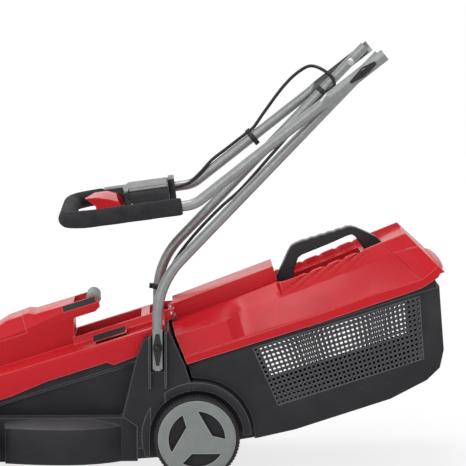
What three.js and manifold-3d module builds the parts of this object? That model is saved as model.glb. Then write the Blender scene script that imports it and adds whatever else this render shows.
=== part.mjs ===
// Cordless rotary lawn mower with a grass catcher, its upper handle folded forward over the deck.
//
// Millimetres, +Z up. The mower faces -X, its left side is -Y. Everything is placed from the rear
// axle (X = 0) and the ground (Z = 0); the finished group is then moved so that its origin is at
// the bottom centre of its box.
//
// The hood, the rear flap and the catcher all run along one raked direction. They are drawn in a
// raked frame: u runs rearwards along the rake, v stands square to it, both from the same origin.

import * as THREE from 'three';
import { ConvexGeometry } from 'three/addons/geometries/ConvexGeometry.js';
import { mergeVertices } from 'three/addons/utils/BufferGeometryUtils.js';
import Module from 'manifold-3d';

const wasm = await Module();
wasm.setup();

// ---------------------------------------------------------------- driving dimensions

const GAP = 0.4;                    // clearance between neighbours
const RUN = 0.3;                    // running clearance of a pin in its hole
const RAKE = 17.2;                  // degrees

// wheels and axles
const REAR_WHEEL_RADIUS = 82.5;
const FRONT_WHEEL_RADIUS = 60;
const WHEELBASE = 432;
const WHEEL_WIDTH = 38;
const WHEEL_CENTRE_Y = 161;
const AXLE_RADIUS = 5;
const HUB_RADIUS = 15;
const TYRE_THICKNESS = 8;
const WHEEL_SIDES = 32;
const CAP_THICKNESS = 3.4;
const WINDOW_ARC = 54;              // outer radius of the hub cap's windows on a rear wheel
const WINDOW_SPAN = 88;             // degrees
const WINDOW_APEX = 11;             // degrees from the window's start to its inner corner
const WINDOW_APEX_RADIUS = 30;

// deck housing
const DECK_WALL = 3.5;
const DRUM_X = -242;
const DRUM_RADIUS = 165;
const DRUM_BEVEL = 25;              // the shoulder falls outward over this width
const DRUM_SHOULDER_Z = 99;
const DRUM_LEDGE_Z = 112;           // outer edge of the ledge round the drum
const DRUM_LEDGE_RISE = 3.5;        // rise of the ledge to the foot of the flank
const DRUM_ROOF_Z = 125;
const DRUM_ROOF_RADIUS = 96;
const DRUM_FRONT_X = -366;          // the drum runs forward to here between the front wheels
const DRUM_NARROWING = 19;          // its sides close in by this towards the front
const SKIRT_Z = 30;
const BODY_HALF_WIDTH = 133;
const FLANK_FOOT_HALF_WIDTH = 110;  // the flank leans out from here to the joint line
const FLANK_FRONT_X = -440;
const PILLAR_HALF_WIDTH = 155;
const PILLAR_FRONT_X = -114;
const PILLAR_NOSE_X = -141;         // the pillar's front edge runs out to a nose above the ledge
const PILLAR_NOSE_Z = 121;
const PILLAR_CHIN_Z = 103;
const PILLAR_TOP_V = 290.6;
const NOSE_X = -478;
const PARTING_V = 249.5;            // raked joint line between the deck and the hood
const LIP_HEIGHT = 26;              // upstand of the deck inside the hood
const LIP_FRONT_U = -330;
const LIP_REAR_U = -40;
const CHUTE_HALF_WIDTH = 110;
const WELL_HALF_WIDTH = 139;        // inner wall of the wheel wells
const GUARD_RADIUS = 105;
const GUARD_INNER_RADIUS = 90;

// motor hood
const HOOD_WALL = 3;
const HOOD_HALF_WIDTH = 144;
const HOOD_SHELF_V = 303;
const HOOD_RIM_V = 257.5;
const HOOD_REAR_U = 30;
const HUMP_HALF_WIDTH = 57;
const HUMP_TOP_V = 316;
const HUMP_DRAFT = 4;
const TROUGH_HALF_WIDTH = 50;
const TROUGH_FLOOR_V = 296;
const TROUGH_BRIDGE_FRONT_U = -13;  // bridge between the two troughs
const TROUGH_BRIDGE_REAR_U = 4;
const DIP_FRONT_U = -108;           // the shelf falls towards the hump behind this
const DIP_REAR_U = 22;
const DIP_DEPTH = 9.5;
const DIP_MARGIN = 6;               // level strip outside the dip
const BLOCK_HALF_WIDTH = 50;
const BLOCK_TOP_V = 386;
const BLOCK_REAR_U = -148;
const ARM_HEIGHT = 28;
const ARM_WIDTH = 11;
const ARM_TIP_U = -83;
const BLOCK_LEAN = 17;              // the block's rear face leans back by this at its top
const CHAMFER_TOP_Y = 38;           // the block's chamfer runs in to here at its top
const CHAMFER_V = 368.5;            // foot of the chamfer on the arms
const CARRY_BAR_U = -93.5;
const CARRY_BAR_V = 373.5;
const CARRY_BAR_RADIUS = 13.8;
const PAD_FRONT_U = -154;
const PAD_REAR_U = -88.5;
const PAD_THICKNESS = 2;
const COVER_SEAM_U = -234;
const COVER_SKIRT_V = BLOCK_TOP_V - 35;
const COVER_HINGE_U = -336.5;
const COVER_HINGE_V = COVER_SKIRT_V + 1.5;
const COVER_HINGE_RADIUS = 2.6;
const COVER_HINGE_HALF = 16;
const COVER_PIN_RADIUS = 1.2;
const COVER_KNUCKLE_END = 24;

// catcher
const CATCHER_WALL = 2.2;
const CATCHER_HALF_WIDTH = 142;
const CATCHER_FRONT_U = 50;
const RIM_V = 216.8;
const RIM_HEIGHT = 12;
const RIM_HALF_WIDTH = 150;
const LID_WALL = 2.2;
const LID_HALF_WIDTH = 146;
const LID_PLATEAU_HALF_WIDTH = 92;
const GRILLE_ROWS = 13;
const GRILLE_PITCH = 9.1;
const GRILLE_SLOT = 5.6;
const CATCHER_ARCH_RADIUS = 112;

// rear flap
const FLAP_HALF_WIDTH = 48;
const FLAP_FRONT_U = 52;
const FLAP_REAR_U = 260;
const FLAP_WALL = 2.6;
const FLAP_ROD_U = 44;
const FLAP_ROD_V = HOOD_SHELF_V + 2;
const FLAP_ROD_RADIUS = 3;

// handle tubes
const TUBE_RADIUS = 10;
const TUBE_WALL = 1.3;
const TUBE_SIDES = 10;
const LOWER_TUBE_Y = 155;
const UPPER_TUBE_Y = 173;
const LOWER_TUBE_X = -74;
const LOWER_TUBE_FOOT_Z = 212;
const LOWER_BEND_Z = 376;
const LOWER_BEND_RADIUS = 160;
const LOWER_ANGLE = 46.2;           // degrees above the ground
const LOWER_LENGTH = 560;           // bend corner to fold pivot
const LOWER_OVERRUN = 42;           // past the fold pivot
const UPPER_ANGLE = 38.2;
const UPPER_LENGTH = 403;           // fold pivot to bend corner
const UPPER_BEND_RADIUS = 60;
const UPPER_OVERRUN = 50;
const GRIP_ANGLE = 7.6;
const GRIP_LENGTH = 244;            // bend corner to the cross bar
const GRIP_CORNER_RADIUS = 58;
const PRESSED_WIDTH = 23.5;         // pressed end of the upper tube
const PRESSED_DEPTH = 4;
const PRESSED_WALL = 2.6;
const PRESSED_EDGE = 1.6;
const PRESSED_START = 78;           // distance from the pivot where pressing ends
const PRESSED_FADE = 22;
const FOAM_RADIUS = 16.5;
const FOAM_LEFT_START = 24;         // distance from the bend corner, left leg

// clamps
const BOLT_RADIUS = 3;
const CLAMP_Z = 256;
const SADDLE_LENGTH = 62;
const SADDLE_WIDTH = 17;
const SADDLE_THICKNESS = 3.5;
const LEVER_LENGTH = 36;
const LEVER_WIDTH = 12;
const CAM_RADIUS = 7;

// switch box, in the grip's own frame: X runs along the grip from its bend corner
const BOX_INNER_Y = 20;
const BOX_OUTER_Y = 186;
const BOX_REAR_X = -48;
const BOX_FRONT_X = -116;
const BOX_ARM_FRONT_X = -178;
const BOX_ARM_INNER_Y = 138;
const BOX_HALF_HEIGHT = 20;
const PANEL_THICKNESS = 3;
const BOX_WALL = 3;
const SWITCH_PIVOT_X = -126;
const SWITCH_PIVOT_Z = 4;
const SWITCH_PIVOT_RADIUS = 2.5;
const SWITCH_EAR_WIDTH = 7;
const BUTTON_RADIUS = 4.5;
const SWITCH_LEVER_NEAR_Y = -10;

// cable
const CABLE_RADIUS = 3.3;
const CABLE_OFFSET = 13.8;          // cable centre from tube centre
const CABLE_HOLE_U = 11;
const CABLE_HOLE_Y = 128;

// motor and blade
const BLADE_TIP_GAP = 11.5;
const BLADE_LENGTH = 2 * (DRUM_RADIUS - DECK_WALL - BLADE_TIP_GAP);
const BLADE_WIDTH = 44;
const BLADE_THICKNESS = 3;
const BLADE_Z = 38;
const SHAFT_RADIUS = 7;
const MOTOR_RADIUS = 42;
const MOTOR_HEIGHT = 60;

// battery
const BATTERY_HALF_WIDTH = 38;
const BATTERY_FRONT_U = -332;
const BATTERY_REAR_U = -240;
const BATTERY_HEADROOM = 27.6;
const BATTERY_FLOOR_V = HOOD_SHELF_V + GAP;
const BATTERY_HEIGHT = BLOCK_TOP_V - HOOD_WALL - BATTERY_HEADROOM - BATTERY_FLOOR_V;
const TERMINAL_REAR_U = -216;
const TERMINAL_HEIGHT = 30;
const KEY_U = -286;
const KEY_LENGTH = 18;
const KEY_THICKNESS = 4;
const KEY_HEIGHT = 31;
const KEY_HOLE_RADIUS = 4;
const KEY_HOLE_DROP = 7;            // from the key's top to the middle of its hole
const KEY_DEPTH = 18;               // how far the key sits in its socket

// ---------------------------------------------------------------- small helpers

const radians = THREE.MathUtils.degToRad;
const sides = [['left', -1], ['right', 1]];
const rake = new THREE.Matrix4().makeRotationY(-radians(RAKE));

function fromRaked(u, v) {
  const point = new THREE.Vector3(u, 0, v).applyMatrix4(rake);
  return [point.x, point.z];
}

function signedVolume(positions, index) {
  const a = new THREE.Vector3();
  const b = new THREE.Vector3();
  const c = new THREE.Vector3();
  let volume = 0;
  for (let i = 0; i < index.length; i += 3) {
    a.fromArray(positions, 3 * index[i]);
    b.fromArray(positions, 3 * index[i + 1]);
    c.fromArray(positions, 3 * index[i + 2]);
    volume += a.dot(b.cross(c)) / 6;
  }
  return volume;
}

// A closed three.js geometry as a manifold solid.
function solidOf(geometry) {
  const bare = geometry.clone();
  bare.deleteAttribute('normal');
  bare.deleteAttribute('uv');
  const merged = mergeVertices(bare, 1e-4);
  const positions = Float32Array.from(merged.attributes.position.array);
  const index = [];
  for (let i = 0; i < merged.index.count; i += 3) {
    const corner = [0, 1, 2].map((k) => merged.index.getX(i + k));
    if (new Set(corner).size === 3) index.push(...corner);
  }
  if (signedVolume(positions, index) < 0) index.reverse();
  const triVerts = Uint32Array.from(index);
  const mesh = new wasm.Mesh({ numProp: 3, vertProperties: positions, triVerts });
  mesh.merge();
  return new wasm.Manifold(mesh);
}

function geometryOf(solid) {
  const mesh = solid.getMesh();
  const geometry = new THREE.BufferGeometry();
  geometry.setAttribute('position', new THREE.BufferAttribute(mesh.vertProperties, 3));
  geometry.setIndex(new THREE.BufferAttribute(mesh.triVerts, 1));
  geometry.computeVertexNormals();
  return geometry;
}

const join = (...solids) => solids.reduce((whole, piece) => whole.add(piece));
const cut = (whole, ...tools) => tools.reduce((left, tool) => left.subtract(tool), whole);
const moved = (solid, matrix) => solid.transform(matrix.toArray());
const shifted = (solid, x, y, z) => solid.translate([x, y, z]);

// Outline in X and Z, extruded across Y.
function acrossY(points, fromY, toY, holes = []) {
  const shape = new THREE.Shape(points.map(([x, z]) => new THREE.Vector2(x, z)));
  for (const hole of holes) shape.holes.push(new THREE.Path(hole.map(([x, z]) => new THREE.Vector2(x, z))));
  const geometry = new THREE.ExtrudeGeometry(shape, { depth: toY - fromY, bevelEnabled: false });
  geometry.rotateX(Math.PI / 2);
  geometry.translate(0, toY, 0);
  return solidOf(geometry);
}

// Outline in Y and Z, extruded along X.
function alongX(points, fromX, toX) {
  const shape = new THREE.Shape(points.map(([y, z]) => new THREE.Vector2(y, z)));
  const geometry = new THREE.ExtrudeGeometry(shape, { depth: toX - fromX, bevelEnabled: false });
  const turn = new THREE.Matrix4().makeBasis(
    new THREE.Vector3(0, 1, 0), new THREE.Vector3(0, 0, 1), new THREE.Vector3(1, 0, 0));
  geometry.applyMatrix4(turn);
  geometry.translate(fromX, 0, 0);
  return solidOf(geometry);
}

// Outline in X and Y, extruded up Z.
function upZ(points, fromZ, toZ) {
  const shape = new THREE.Shape(points.map(([x, y]) => new THREE.Vector2(x, y)));
  const geometry = new THREE.ExtrudeGeometry(shape, { depth: toZ - fromZ, bevelEnabled: false });
  geometry.translate(0, 0, fromZ);
  return solidOf(geometry);
}

function block([x0, x1], [y0, y1], [z0, z1]) {
  const geometry = new THREE.BoxGeometry(x1 - x0, y1 - y0, z1 - z0);
  geometry.translate((x0 + x1) / 2, (y0 + y1) / 2, (z0 + z1) / 2);
  return solidOf(geometry);
}

// A round bar between two points.
function bar(radius, from, to, sideCount = 16) {
  const start = new THREE.Vector3(...from);
  const end = new THREE.Vector3(...to);
  const axis = end.clone().sub(start);
  const geometry = new THREE.CylinderGeometry(radius, radius, axis.length(), sideCount);
  geometry.applyQuaternion(new THREE.Quaternion().setFromUnitVectors(
    new THREE.Vector3(0, 1, 0), axis.clone().normalize()));
  geometry.translate(...start.add(end).multiplyScalar(0.5).toArray());
  return solidOf(geometry);
}

const barY = (radius, x, z, y0, y1, sideCount) => bar(radius, [x, y0, z], [x, y1, z], sideCount);
const barZ = (radius, x, y, z0, z1, sideCount) => bar(radius, [x, y, z0], [x, y, z1], sideCount);

// Profile of [radius, height] pairs turned about Y or Z.
function turned(profile, axis, sideCount) {
  const geometry = new THREE.LatheGeometry(profile.map(([r, h]) => new THREE.Vector2(r, h)), sideCount);
  if (axis === 'z') geometry.rotateX(Math.PI / 2);
  return solidOf(geometry);
}

const closed = (profile) => [...profile, profile[0]];

function circle(radius, sideCount, cx = 0, cy = 0) {
  const points = [];
  for (let i = 0; i < sideCount; i += 1) {
    const angle = (2 * Math.PI * i) / sideCount;
    points.push([cx + radius * Math.cos(angle), cy + radius * Math.sin(angle)]);
  }
  return points;
}

// Route through a list of corners, each rounded by its own radius.
function rounded(corners, stepDegrees = 8) {
  const route = [corners[0].point.clone()];
  for (let i = 1; i < corners.length - 1; i += 1) {
    const corner = corners[i].point;
    const into = corner.clone().sub(corners[i - 1].point).normalize();
    const out = corners[i + 1].point.clone().sub(corner).normalize();
    const turn = into.angleTo(out);
    const reach = corners[i].radius * Math.tan(turn / 2);
    const inward = out.clone().sub(into).normalize();
    const centre = corner.clone().addScaledVector(inward, corners[i].radius / Math.cos(turn / 2));
    const start = corner.clone().addScaledVector(into, -reach).sub(centre);
    const axis = into.clone().cross(out).normalize();
    const count = Math.max(2, Math.round(THREE.MathUtils.radToDeg(turn) / stepDegrees));
    for (let k = 0; k <= count; k += 1) {
      route.push(start.clone().applyAxisAngle(axis, (turn * k) / count).add(centre));
    }
  }
  route.push(corners[corners.length - 1].point.clone());
  return route;
}

// A curve that steps from knot to knot, with each section square to the mean direction there.
class KnotCurve extends THREE.Curve {
  constructor(knots) {
    super();
    this.knots = knots;
  }

  getPoint(t, target = new THREE.Vector3()) {
    const place = t * (this.knots.length - 1);
    const before = Math.min(Math.floor(place + 1e-9), this.knots.length - 2);
    return target.lerpVectors(this.knots[before], this.knots[before + 1], place - before);
  }

  getPointAt(t, target) {
    return this.getPoint(t, target);
  }

  getTangentAt(t, target = new THREE.Vector3()) {
    const last = this.knots.length - 1;
    const here = Math.round(t * last);
    target.set(0, 0, 0);
    if (here > 0) target.add(this.knots[here].clone().sub(this.knots[here - 1]).normalize());
    if (here < last) target.add(this.knots[here + 1].clone().sub(this.knots[here]).normalize());
    return target.normalize();
  }
}

function tubeAlong(knots, radius, boreRadius = 0, sideCount = TUBE_SIDES) {
  const shape = new THREE.Shape(circle(radius, sideCount).map(([x, y]) => new THREE.Vector2(x, y)));
  if (boreRadius > 0) {
    const bore = circle(boreRadius, sideCount).map(([x, y]) => new THREE.Vector2(x, y));
    shape.holes.push(new THREE.Path(bore));
  }
  return solidOf(new THREE.ExtrudeGeometry(shape, {
    steps: knots.length - 1, extrudePath: new KnotCurve(knots), bevelEnabled: false,
  }));
}

function cordAlong(points, steps) {
  const curve = new THREE.CatmullRomCurve3(points.map((p) => new THREE.Vector3(...p)), false, 'centripetal');
  return tubeAlong(curve.getSpacedPoints(steps), CABLE_RADIUS, 0, 8);
}

// Radius of a faceted bore that clears a faceted bar of the given radius.
const clearBore = (radius, sideCount) => (radius + GAP) / Math.cos(Math.PI / sideCount);

// A solid through rings of points; the rings have equal counts and run the same way round.
function loft(rings) {
  const count = rings[0].length;
  const ends = [rings[0], rings[rings.length - 1]].map((ring) => {
    const origin = ring[0];
    const along = ring[count - 1].clone().sub(origin).normalize();
    const normal = new THREE.Vector3();
    ring.slice(1, -1).forEach((p, i) => {
      normal.add(p.clone().sub(origin).cross(ring[i + 2].clone().sub(origin)));
    });
    normal.normalize();
    const side = normal.clone().cross(along);
    const flat = ring.map((p) => new THREE.Vector2(
      p.clone().sub(origin).dot(along), p.clone().sub(origin).dot(side)));
    return THREE.ShapeUtils.triangulateShape(flat, []);
  });
  const index = [];
  for (let r = 0; r + 1 < rings.length; r += 1) {
    for (let i = 0; i < count; i += 1) {
      const a = r * count + i;
      const b = r * count + ((i + 1) % count);
      index.push(a, b, b + count, a, b + count, a + count);
    }
  }
  for (const [p, q, t] of ends[0]) index.push(p, t, q);
  const lastRing = (rings.length - 1) * count;
  for (const [p, q, t] of ends[1]) index.push(lastRing + p, lastRing + q, lastRing + t);
  const geometry = new THREE.BufferGeometry().setFromPoints(rings.flat());
  geometry.setIndex(index);
  return solidOf(geometry);
}

function hullOf(points) {
  return solidOf(new ConvexGeometry(points));
}

// ---------------------------------------------------------------- finishes

const look = (color, roughness, metalness = 0) => () => (
  new THREE.MeshStandardMaterial({ color, roughness, metalness }));
const redPlastic = look(0xc4202c, 0.35);
const blackPlastic = look(0x2e2c30, 0.6);
const greyPlastic = look(0x8c918d, 0.55);
const darkGreyPlastic = look(0x4f5654, 0.6);
const greyPaint = look(0x8a8f8e, 0.4, 0.5);
const steel = look(0xb8bcbf, 0.35, 1);
const foam = look(0x37363a, 0.95);
const rubber = look(0x1c1c1e, 0.8);
const creamPlastic = look(0xc9c3b0, 0.5);

const mower = new THREE.Group();

function add(name, solid, finish, parent = mower) {
  const mesh = new THREE.Mesh(geometryOf(solid), finish());
  mesh.name = name;
  parent.add(mesh);
  return mesh;
}

// Everything drawn in u and v hangs in this turned group.
const raked = new THREE.Group();
raked.rotation.y = -radians(RAKE);
mower.add(raked);

// ---------------------------------------------------------------- shared places

const pivotOffset = new THREE.Vector3(
  Math.cos(radians(LOWER_ANGLE)), 0, Math.sin(radians(LOWER_ANGLE)));
const lowerBend = new THREE.Vector3(LOWER_TUBE_X, 0, LOWER_BEND_Z);
const foldPivot = lowerBend.clone().addScaledVector(pivotOffset, LOWER_LENGTH);
const upperAlong = new THREE.Vector3(
  Math.cos(radians(UPPER_ANGLE)), 0, Math.sin(radians(UPPER_ANGLE)));
const upperBend = foldPivot.clone().addScaledVector(upperAlong, -UPPER_LENGTH);
const gripAlong = new THREE.Vector3(
  Math.cos(radians(GRIP_ANGLE)), 0, Math.sin(radians(GRIP_ANGLE)));
const rearAxle = [0, REAR_WHEEL_RADIUS];
const frontAxle = [-WHEELBASE, FRONT_WHEEL_RADIUS];

const atY = (point, y) => new THREE.Vector3(point.x, y, point.z);

// ---------------------------------------------------------------- deck housing

// Section of the drum from its roof down to its foot, as [half width, height], drawn in by wall.
function drumSection(wall, footZ) {
  const ledgeFoot = FLANK_FOOT_HALF_WIDTH;
  return [
    [DRUM_ROOF_RADIUS - wall / 2, DRUM_ROOF_Z - wall],
    [ledgeFoot - wall / 2, DRUM_LEDGE_Z + DRUM_LEDGE_RISE - wall],
    [DRUM_RADIUS - DRUM_BEVEL - wall / 2, DRUM_LEDGE_Z - wall],
    [DRUM_RADIUS - wall, DRUM_SHOULDER_Z - wall / 2], [DRUM_RADIUS - wall, footZ],
  ];
}

// Round drum, with its sides carried forward between the front wheels.
function drumSolid(wall, footZ) {
  const section = drumSection(wall, footZ);
  const round = shifted(turned([[0, section[0][1]], ...section, [0, footZ]], 'z', 40), DRUM_X, 0, 0);
  const rings = [];
  const stations = 6;
  for (let i = 0; i <= stations; i += 1) {
    const share = i / stations;
    const x = DRUM_X + (DRUM_FRONT_X + wall - DRUM_X) * share;
    const half = section.map(([y, z]) => new THREE.Vector3(x, y - DRUM_NARROWING * share * share, z));
    rings.push([...half, ...half.map((point) => atY(point, -point.y)).reverse()]);
  }
  return round.add(loft(rings));
}

// Wedge outside the leaning flank of the body: from its foot out to the joint line with the hood.
function flankWedge(sign, wall) {
  const jointZ = (x) => (PARTING_V + x * Math.sin(radians(RAKE))) / Math.cos(radians(RAKE));
  const footZ = DRUM_LEDGE_Z + DRUM_LEDGE_RISE;
  const outside = BODY_HALF_WIDTH + 10;
  const section = (x) => [
    [FLANK_FOOT_HALF_WIDTH - wall, footZ], [outside, footZ], [outside, jointZ(x)],
    [BODY_HALF_WIDTH - wall, jointZ(x)],
  ].map(([y, z]) => new THREE.Vector3(x, sign * y, z));
  const rings = [section(FLANK_FRONT_X), section(PILLAR_FRONT_X + 2)];
  return loft(sign < 0 ? rings.reverse() : rings);
}

function deckHousing() {
  const drum = drumSolid(0, SKIRT_Z);
  const drumInside = drumSolid(DECK_WALL, 0);
  const flanks = (wall) => sides.map(([, sign]) => flankWedge(sign, wall));

  // front body between the wheels, with the battery bay floor above it
  const partingFront = fromRaked(NOSE_X * Math.cos(radians(RAKE)) + 36, PARTING_V);
  const partingRear = fromRaked(LIP_REAR_U, PARTING_V);
  const body = cut(acrossY([
    [NOSE_X, 52], [NOSE_X + 22, 34], [NOSE_X + 75, SKIRT_Z], [PILLAR_FRONT_X + 1, SKIRT_Z],
    partingRear, partingFront, [NOSE_X, partingFront[1] - 6],
  ], -BODY_HALF_WIDTH, BODY_HALF_WIDTH), ...flanks(0));
  const innerHalf = BODY_HALF_WIDTH - DECK_WALL;
  const lips = sides.map(([, sign]) => {
    const span = [innerHalf - DECK_WALL, innerHalf + 1].map((y) => sign * y).sort((a, b) => a - b);
    return acrossY([
      fromRaked(LIP_FRONT_U, PARTING_V - 5), fromRaked(LIP_REAR_U, PARTING_V - 5),
      fromRaked(LIP_REAR_U, PARTING_V + LIP_HEIGHT), fromRaked(LIP_FRONT_U, PARTING_V + LIP_HEIGHT),
    ], ...span);
  });
  const bayFloor = FRONT_WHEEL_RADIUS + 22;
  const bay = acrossY([
    [NOSE_X + DECK_WALL, bayFloor], [DRUM_X - DRUM_RADIUS - DECK_WALL, bayFloor],
    [DRUM_X - DRUM_RADIUS - DECK_WALL, DRUM_ROOF_Z], [PILLAR_FRONT_X + 1, DRUM_ROOF_Z],
    [PILLAR_FRONT_X + 1, 400], [NOSE_X + DECK_WALL, 400],
  ], -innerHalf, innerHalf).subtract(flanks(DECK_WALL)[0]).subtract(flanks(DECK_WALL)[1]);
  const underNose = acrossY([
    [NOSE_X + DECK_WALL, 0], [DRUM_X - DRUM_RADIUS, 0],
    [DRUM_X - DRUM_RADIUS, bayFloor - DECK_WALL], [NOSE_X + DECK_WALL, bayFloor - DECK_WALL],
  ], -innerHalf, innerHalf).subtract(drum);

  // rear body: pillars for the handle, wheel wells, discharge chute
  const rearTop = [
    fromRaked(-37.9, 259.3), fromRaked(-24.1, 277.3),
    fromRaked(-14.4, 288.3), fromRaked(-4.2, PILLAR_TOP_V), fromRaked(35, PILLAR_TOP_V), fromRaked(44, RIM_V),
  ];
  const pillars = acrossY([
    [PILLAR_FRONT_X, 60], [PILLAR_FRONT_X, PILLAR_CHIN_Z], [PILLAR_NOSE_X, PILLAR_NOSE_Z],
    ...rearTop, fromRaked(44, 150), fromRaked(44, 100), [rearAxle[0], 60],
  ], -PILLAR_HALF_WIDTH, PILLAR_HALF_WIDTH);
  const chuteMouthLow = fromRaked(44, 100);
  const skirts = sides.map(([, sign]) => acrossY([
    [PILLAR_FRONT_X, SKIRT_Z + 6], [30, SKIRT_Z + 16], chuteMouthLow, [PILLAR_FRONT_X, 120],
  ], sign < 0 ? -WELL_HALF_WIDTH : CHUTE_HALF_WIDTH + DECK_WALL,
  sign < 0 ? -CHUTE_HALF_WIDTH - DECK_WALL : WELL_HALF_WIDTH));
  const guardY = [WELL_HALF_WIDTH - DECK_WALL, PILLAR_HALF_WIDTH + 3];
  const guards = sides.map(([, sign]) => {
    const [near, far] = sign < 0 ? [-guardY[1], -guardY[0]] : guardY;
    const ring = barY(GUARD_RADIUS, ...rearAxle, near, far, 36);
    const below = block([-300, 300], [near - 1, far + 1], [-300, 44]);
    const behind = acrossY([[0, 44], [300, 44], [300, 118], [0, 70]], near - 1, far + 1);
    return cut(ring, below, behind);
  });
  const wells = sides.map(([, sign]) => {
    const [near, far] = sign < 0 ? [-300, -WELL_HALF_WIDTH] : [WELL_HALF_WIDTH, 300];
    const travel = block([-GUARD_INNER_RADIUS, GUARD_INNER_RADIUS], [near, far], [0, rearAxle[1]]);
    return barY(GUARD_INNER_RADIUS, ...rearAxle, near, far, 36).add(travel);
  });

  // hollows of the rear body
  const chuteRoof = [[PILLAR_FRONT_X - 30, 121], [PILLAR_FRONT_X + 14, 121], fromRaked(50, 200)];
  const chute = acrossY([
    [PILLAR_FRONT_X - 30, 44], [-92, 44], fromRaked(50, 104), ...chuteRoof.slice().reverse(),
  ], -CHUTE_HALF_WIDTH, CHUTE_HALF_WIDTH);
  const aboveChute = [
    [PILLAR_NOSE_X + DECK_WALL + 2, DRUM_ROOF_Z], [PILLAR_FRONT_X + 13, DRUM_ROOF_Z],
    fromRaked(40, 205), fromRaked(38, 250), fromRaked(31, 291), fromRaked(31, 400),
    [PILLAR_FRONT_X + DECK_WALL + 1, 400], [PILLAR_FRONT_X + DECK_WALL + 1, 236],
  ];
  const outerHalf = PILLAR_HALF_WIDTH - DECK_WALL;
  const bayRear = acrossY(aboveChute, -outerHalf, outerHalf).subtract(
    barY(GUARD_RADIUS + DECK_WALL, ...rearAxle, -400, 400, 32)
      .subtract(block([-300, 300], [-WELL_HALF_WIDTH, WELL_HALF_WIDTH], [-300, 300])));
  const underChute = acrossY([
    [-300, 0], [60, 0], fromRaked(60, 99), fromRaked(44, 99), [-95, 39], [-300, 39],
  ], -CHUTE_HALF_WIDTH - 0.1, CHUTE_HALF_WIDTH + 0.1).subtract(drum);
  const besideChute = sides.map(([, sign]) => {
    const inner = CHUTE_HALF_WIDTH + DECK_WALL;
    const outer = WELL_HALF_WIDTH - DECK_WALL;
    const [near, far] = sign < 0 ? [-outer, -inner] : [inner, outer];
    return acrossY([
      [PILLAR_FRONT_X + 12, 0], [60, 0], fromRaked(60, 96), fromRaked(36, 96), fromRaked(36, 190),
      [-96, 112], [PILLAR_FRONT_X + 12, 112],
    ], near, far).subtract(drum);
  });

  // vertical handle channels with their ribs
  const channelBack = LOWER_TUBE_Y - TUBE_RADIUS - GAP;
  const channelHalf = TUBE_RADIUS + 3.5;
  const ribTop = 290;
  const ribFoot = 178;
  const channelWalls = sides.map(([, sign]) => block(
    [LOWER_TUBE_X - channelHalf - 3.5, LOWER_TUBE_X + channelHalf + 3.5],
    [channelBack - DECK_WALL, PILLAR_HALF_WIDTH + 13].map((y) => sign * y).sort((a, b) => a - b),
    [ribFoot, ribTop]));
  const channels = sides.map(([, sign]) => block(
    [LOWER_TUBE_X - channelHalf, LOWER_TUBE_X + channelHalf],
    sign < 0 ? [-300, -channelBack] : [channelBack, 300],
    [LOWER_TUBE_FOOT_Z - 4, 400]));
  const channelTails = sides.map(([, sign]) => block(
    [LOWER_TUBE_X - channelHalf, LOWER_TUBE_X + channelHalf],
    sign < 0 ? [-300, -PILLAR_HALF_WIDTH] : [PILLAR_HALF_WIDTH, 300],
    [0, LOWER_TUBE_FOOT_Z - 3]));
  const overTop = acrossY([
    fromRaked(-300, PILLAR_TOP_V), fromRaked(300, PILLAR_TOP_V), fromRaked(300, 600), fromRaked(-300, 600),
  ], -300, 300);
  const boltHoles = barY(BOLT_RADIUS + RUN, LOWER_TUBE_X, CLAMP_Z, -300, 300, 12);

  // axle slots, open at the bottom
  const slot = AXLE_RADIUS + GAP;
  const slots = [rearAxle, frontAxle].map(([x, z]) => join(
    block([x - slot, x + slot], [-200, 200], [0, z]), barY(slot, x, z, -200, 200, 16)));
  const motorHole = barZ(SHAFT_RADIUS + 3, DRUM_X, 0, 0, 300, 24);

  const shell = cut(
    join(drum, body, pillars, ...skirts, ...guards),
    drumInside, bay, underNose, chute, bayRear, underChute, ...besideChute, ...wells);
  return cut(join(shell, ...lips, ...channelWalls.map((wall) => cut(wall, overTop, ...wells))),
    ...channels, ...channelTails, boltHoles, ...slots, motorHole);
}

add('deck_housing', deckHousing(), blackPlastic);

// ---------------------------------------------------------------- motor hood (raked)

const noseLow = [NOSE_X * Math.cos(radians(RAKE)) + 38, HOOD_RIM_V];

function hoodOutline(inset) {
  return [
    [noseLow[0] + inset, noseLow[1]], [noseLow[0] + 10 + inset, HOOD_SHELF_V - 12 - inset],
    [noseLow[0] + 24 + inset, HOOD_SHELF_V - inset], [HOOD_REAR_U - inset, HOOD_SHELF_V - inset],
  ];
}

function blockOutline(inset) {
  return [
    [-366 + inset, HOOD_SHELF_V - 10], [-358 + inset, BLOCK_TOP_V - 60],
    [-338 + inset, BLOCK_TOP_V - 36 - inset], [-303 + inset * 0.5, BLOCK_TOP_V - 13 - inset],
    [-266, BLOCK_TOP_V - 2 - inset], [-222, BLOCK_TOP_V - inset],
    [-208, BLOCK_TOP_V - 6 - inset], [BLOCK_REAR_U + BLOCK_LEAN - inset, BLOCK_TOP_V - 6 - inset],
    [BLOCK_REAR_U - 7 - inset, HOOD_SHELF_V - 10],
  ];
}

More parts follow.
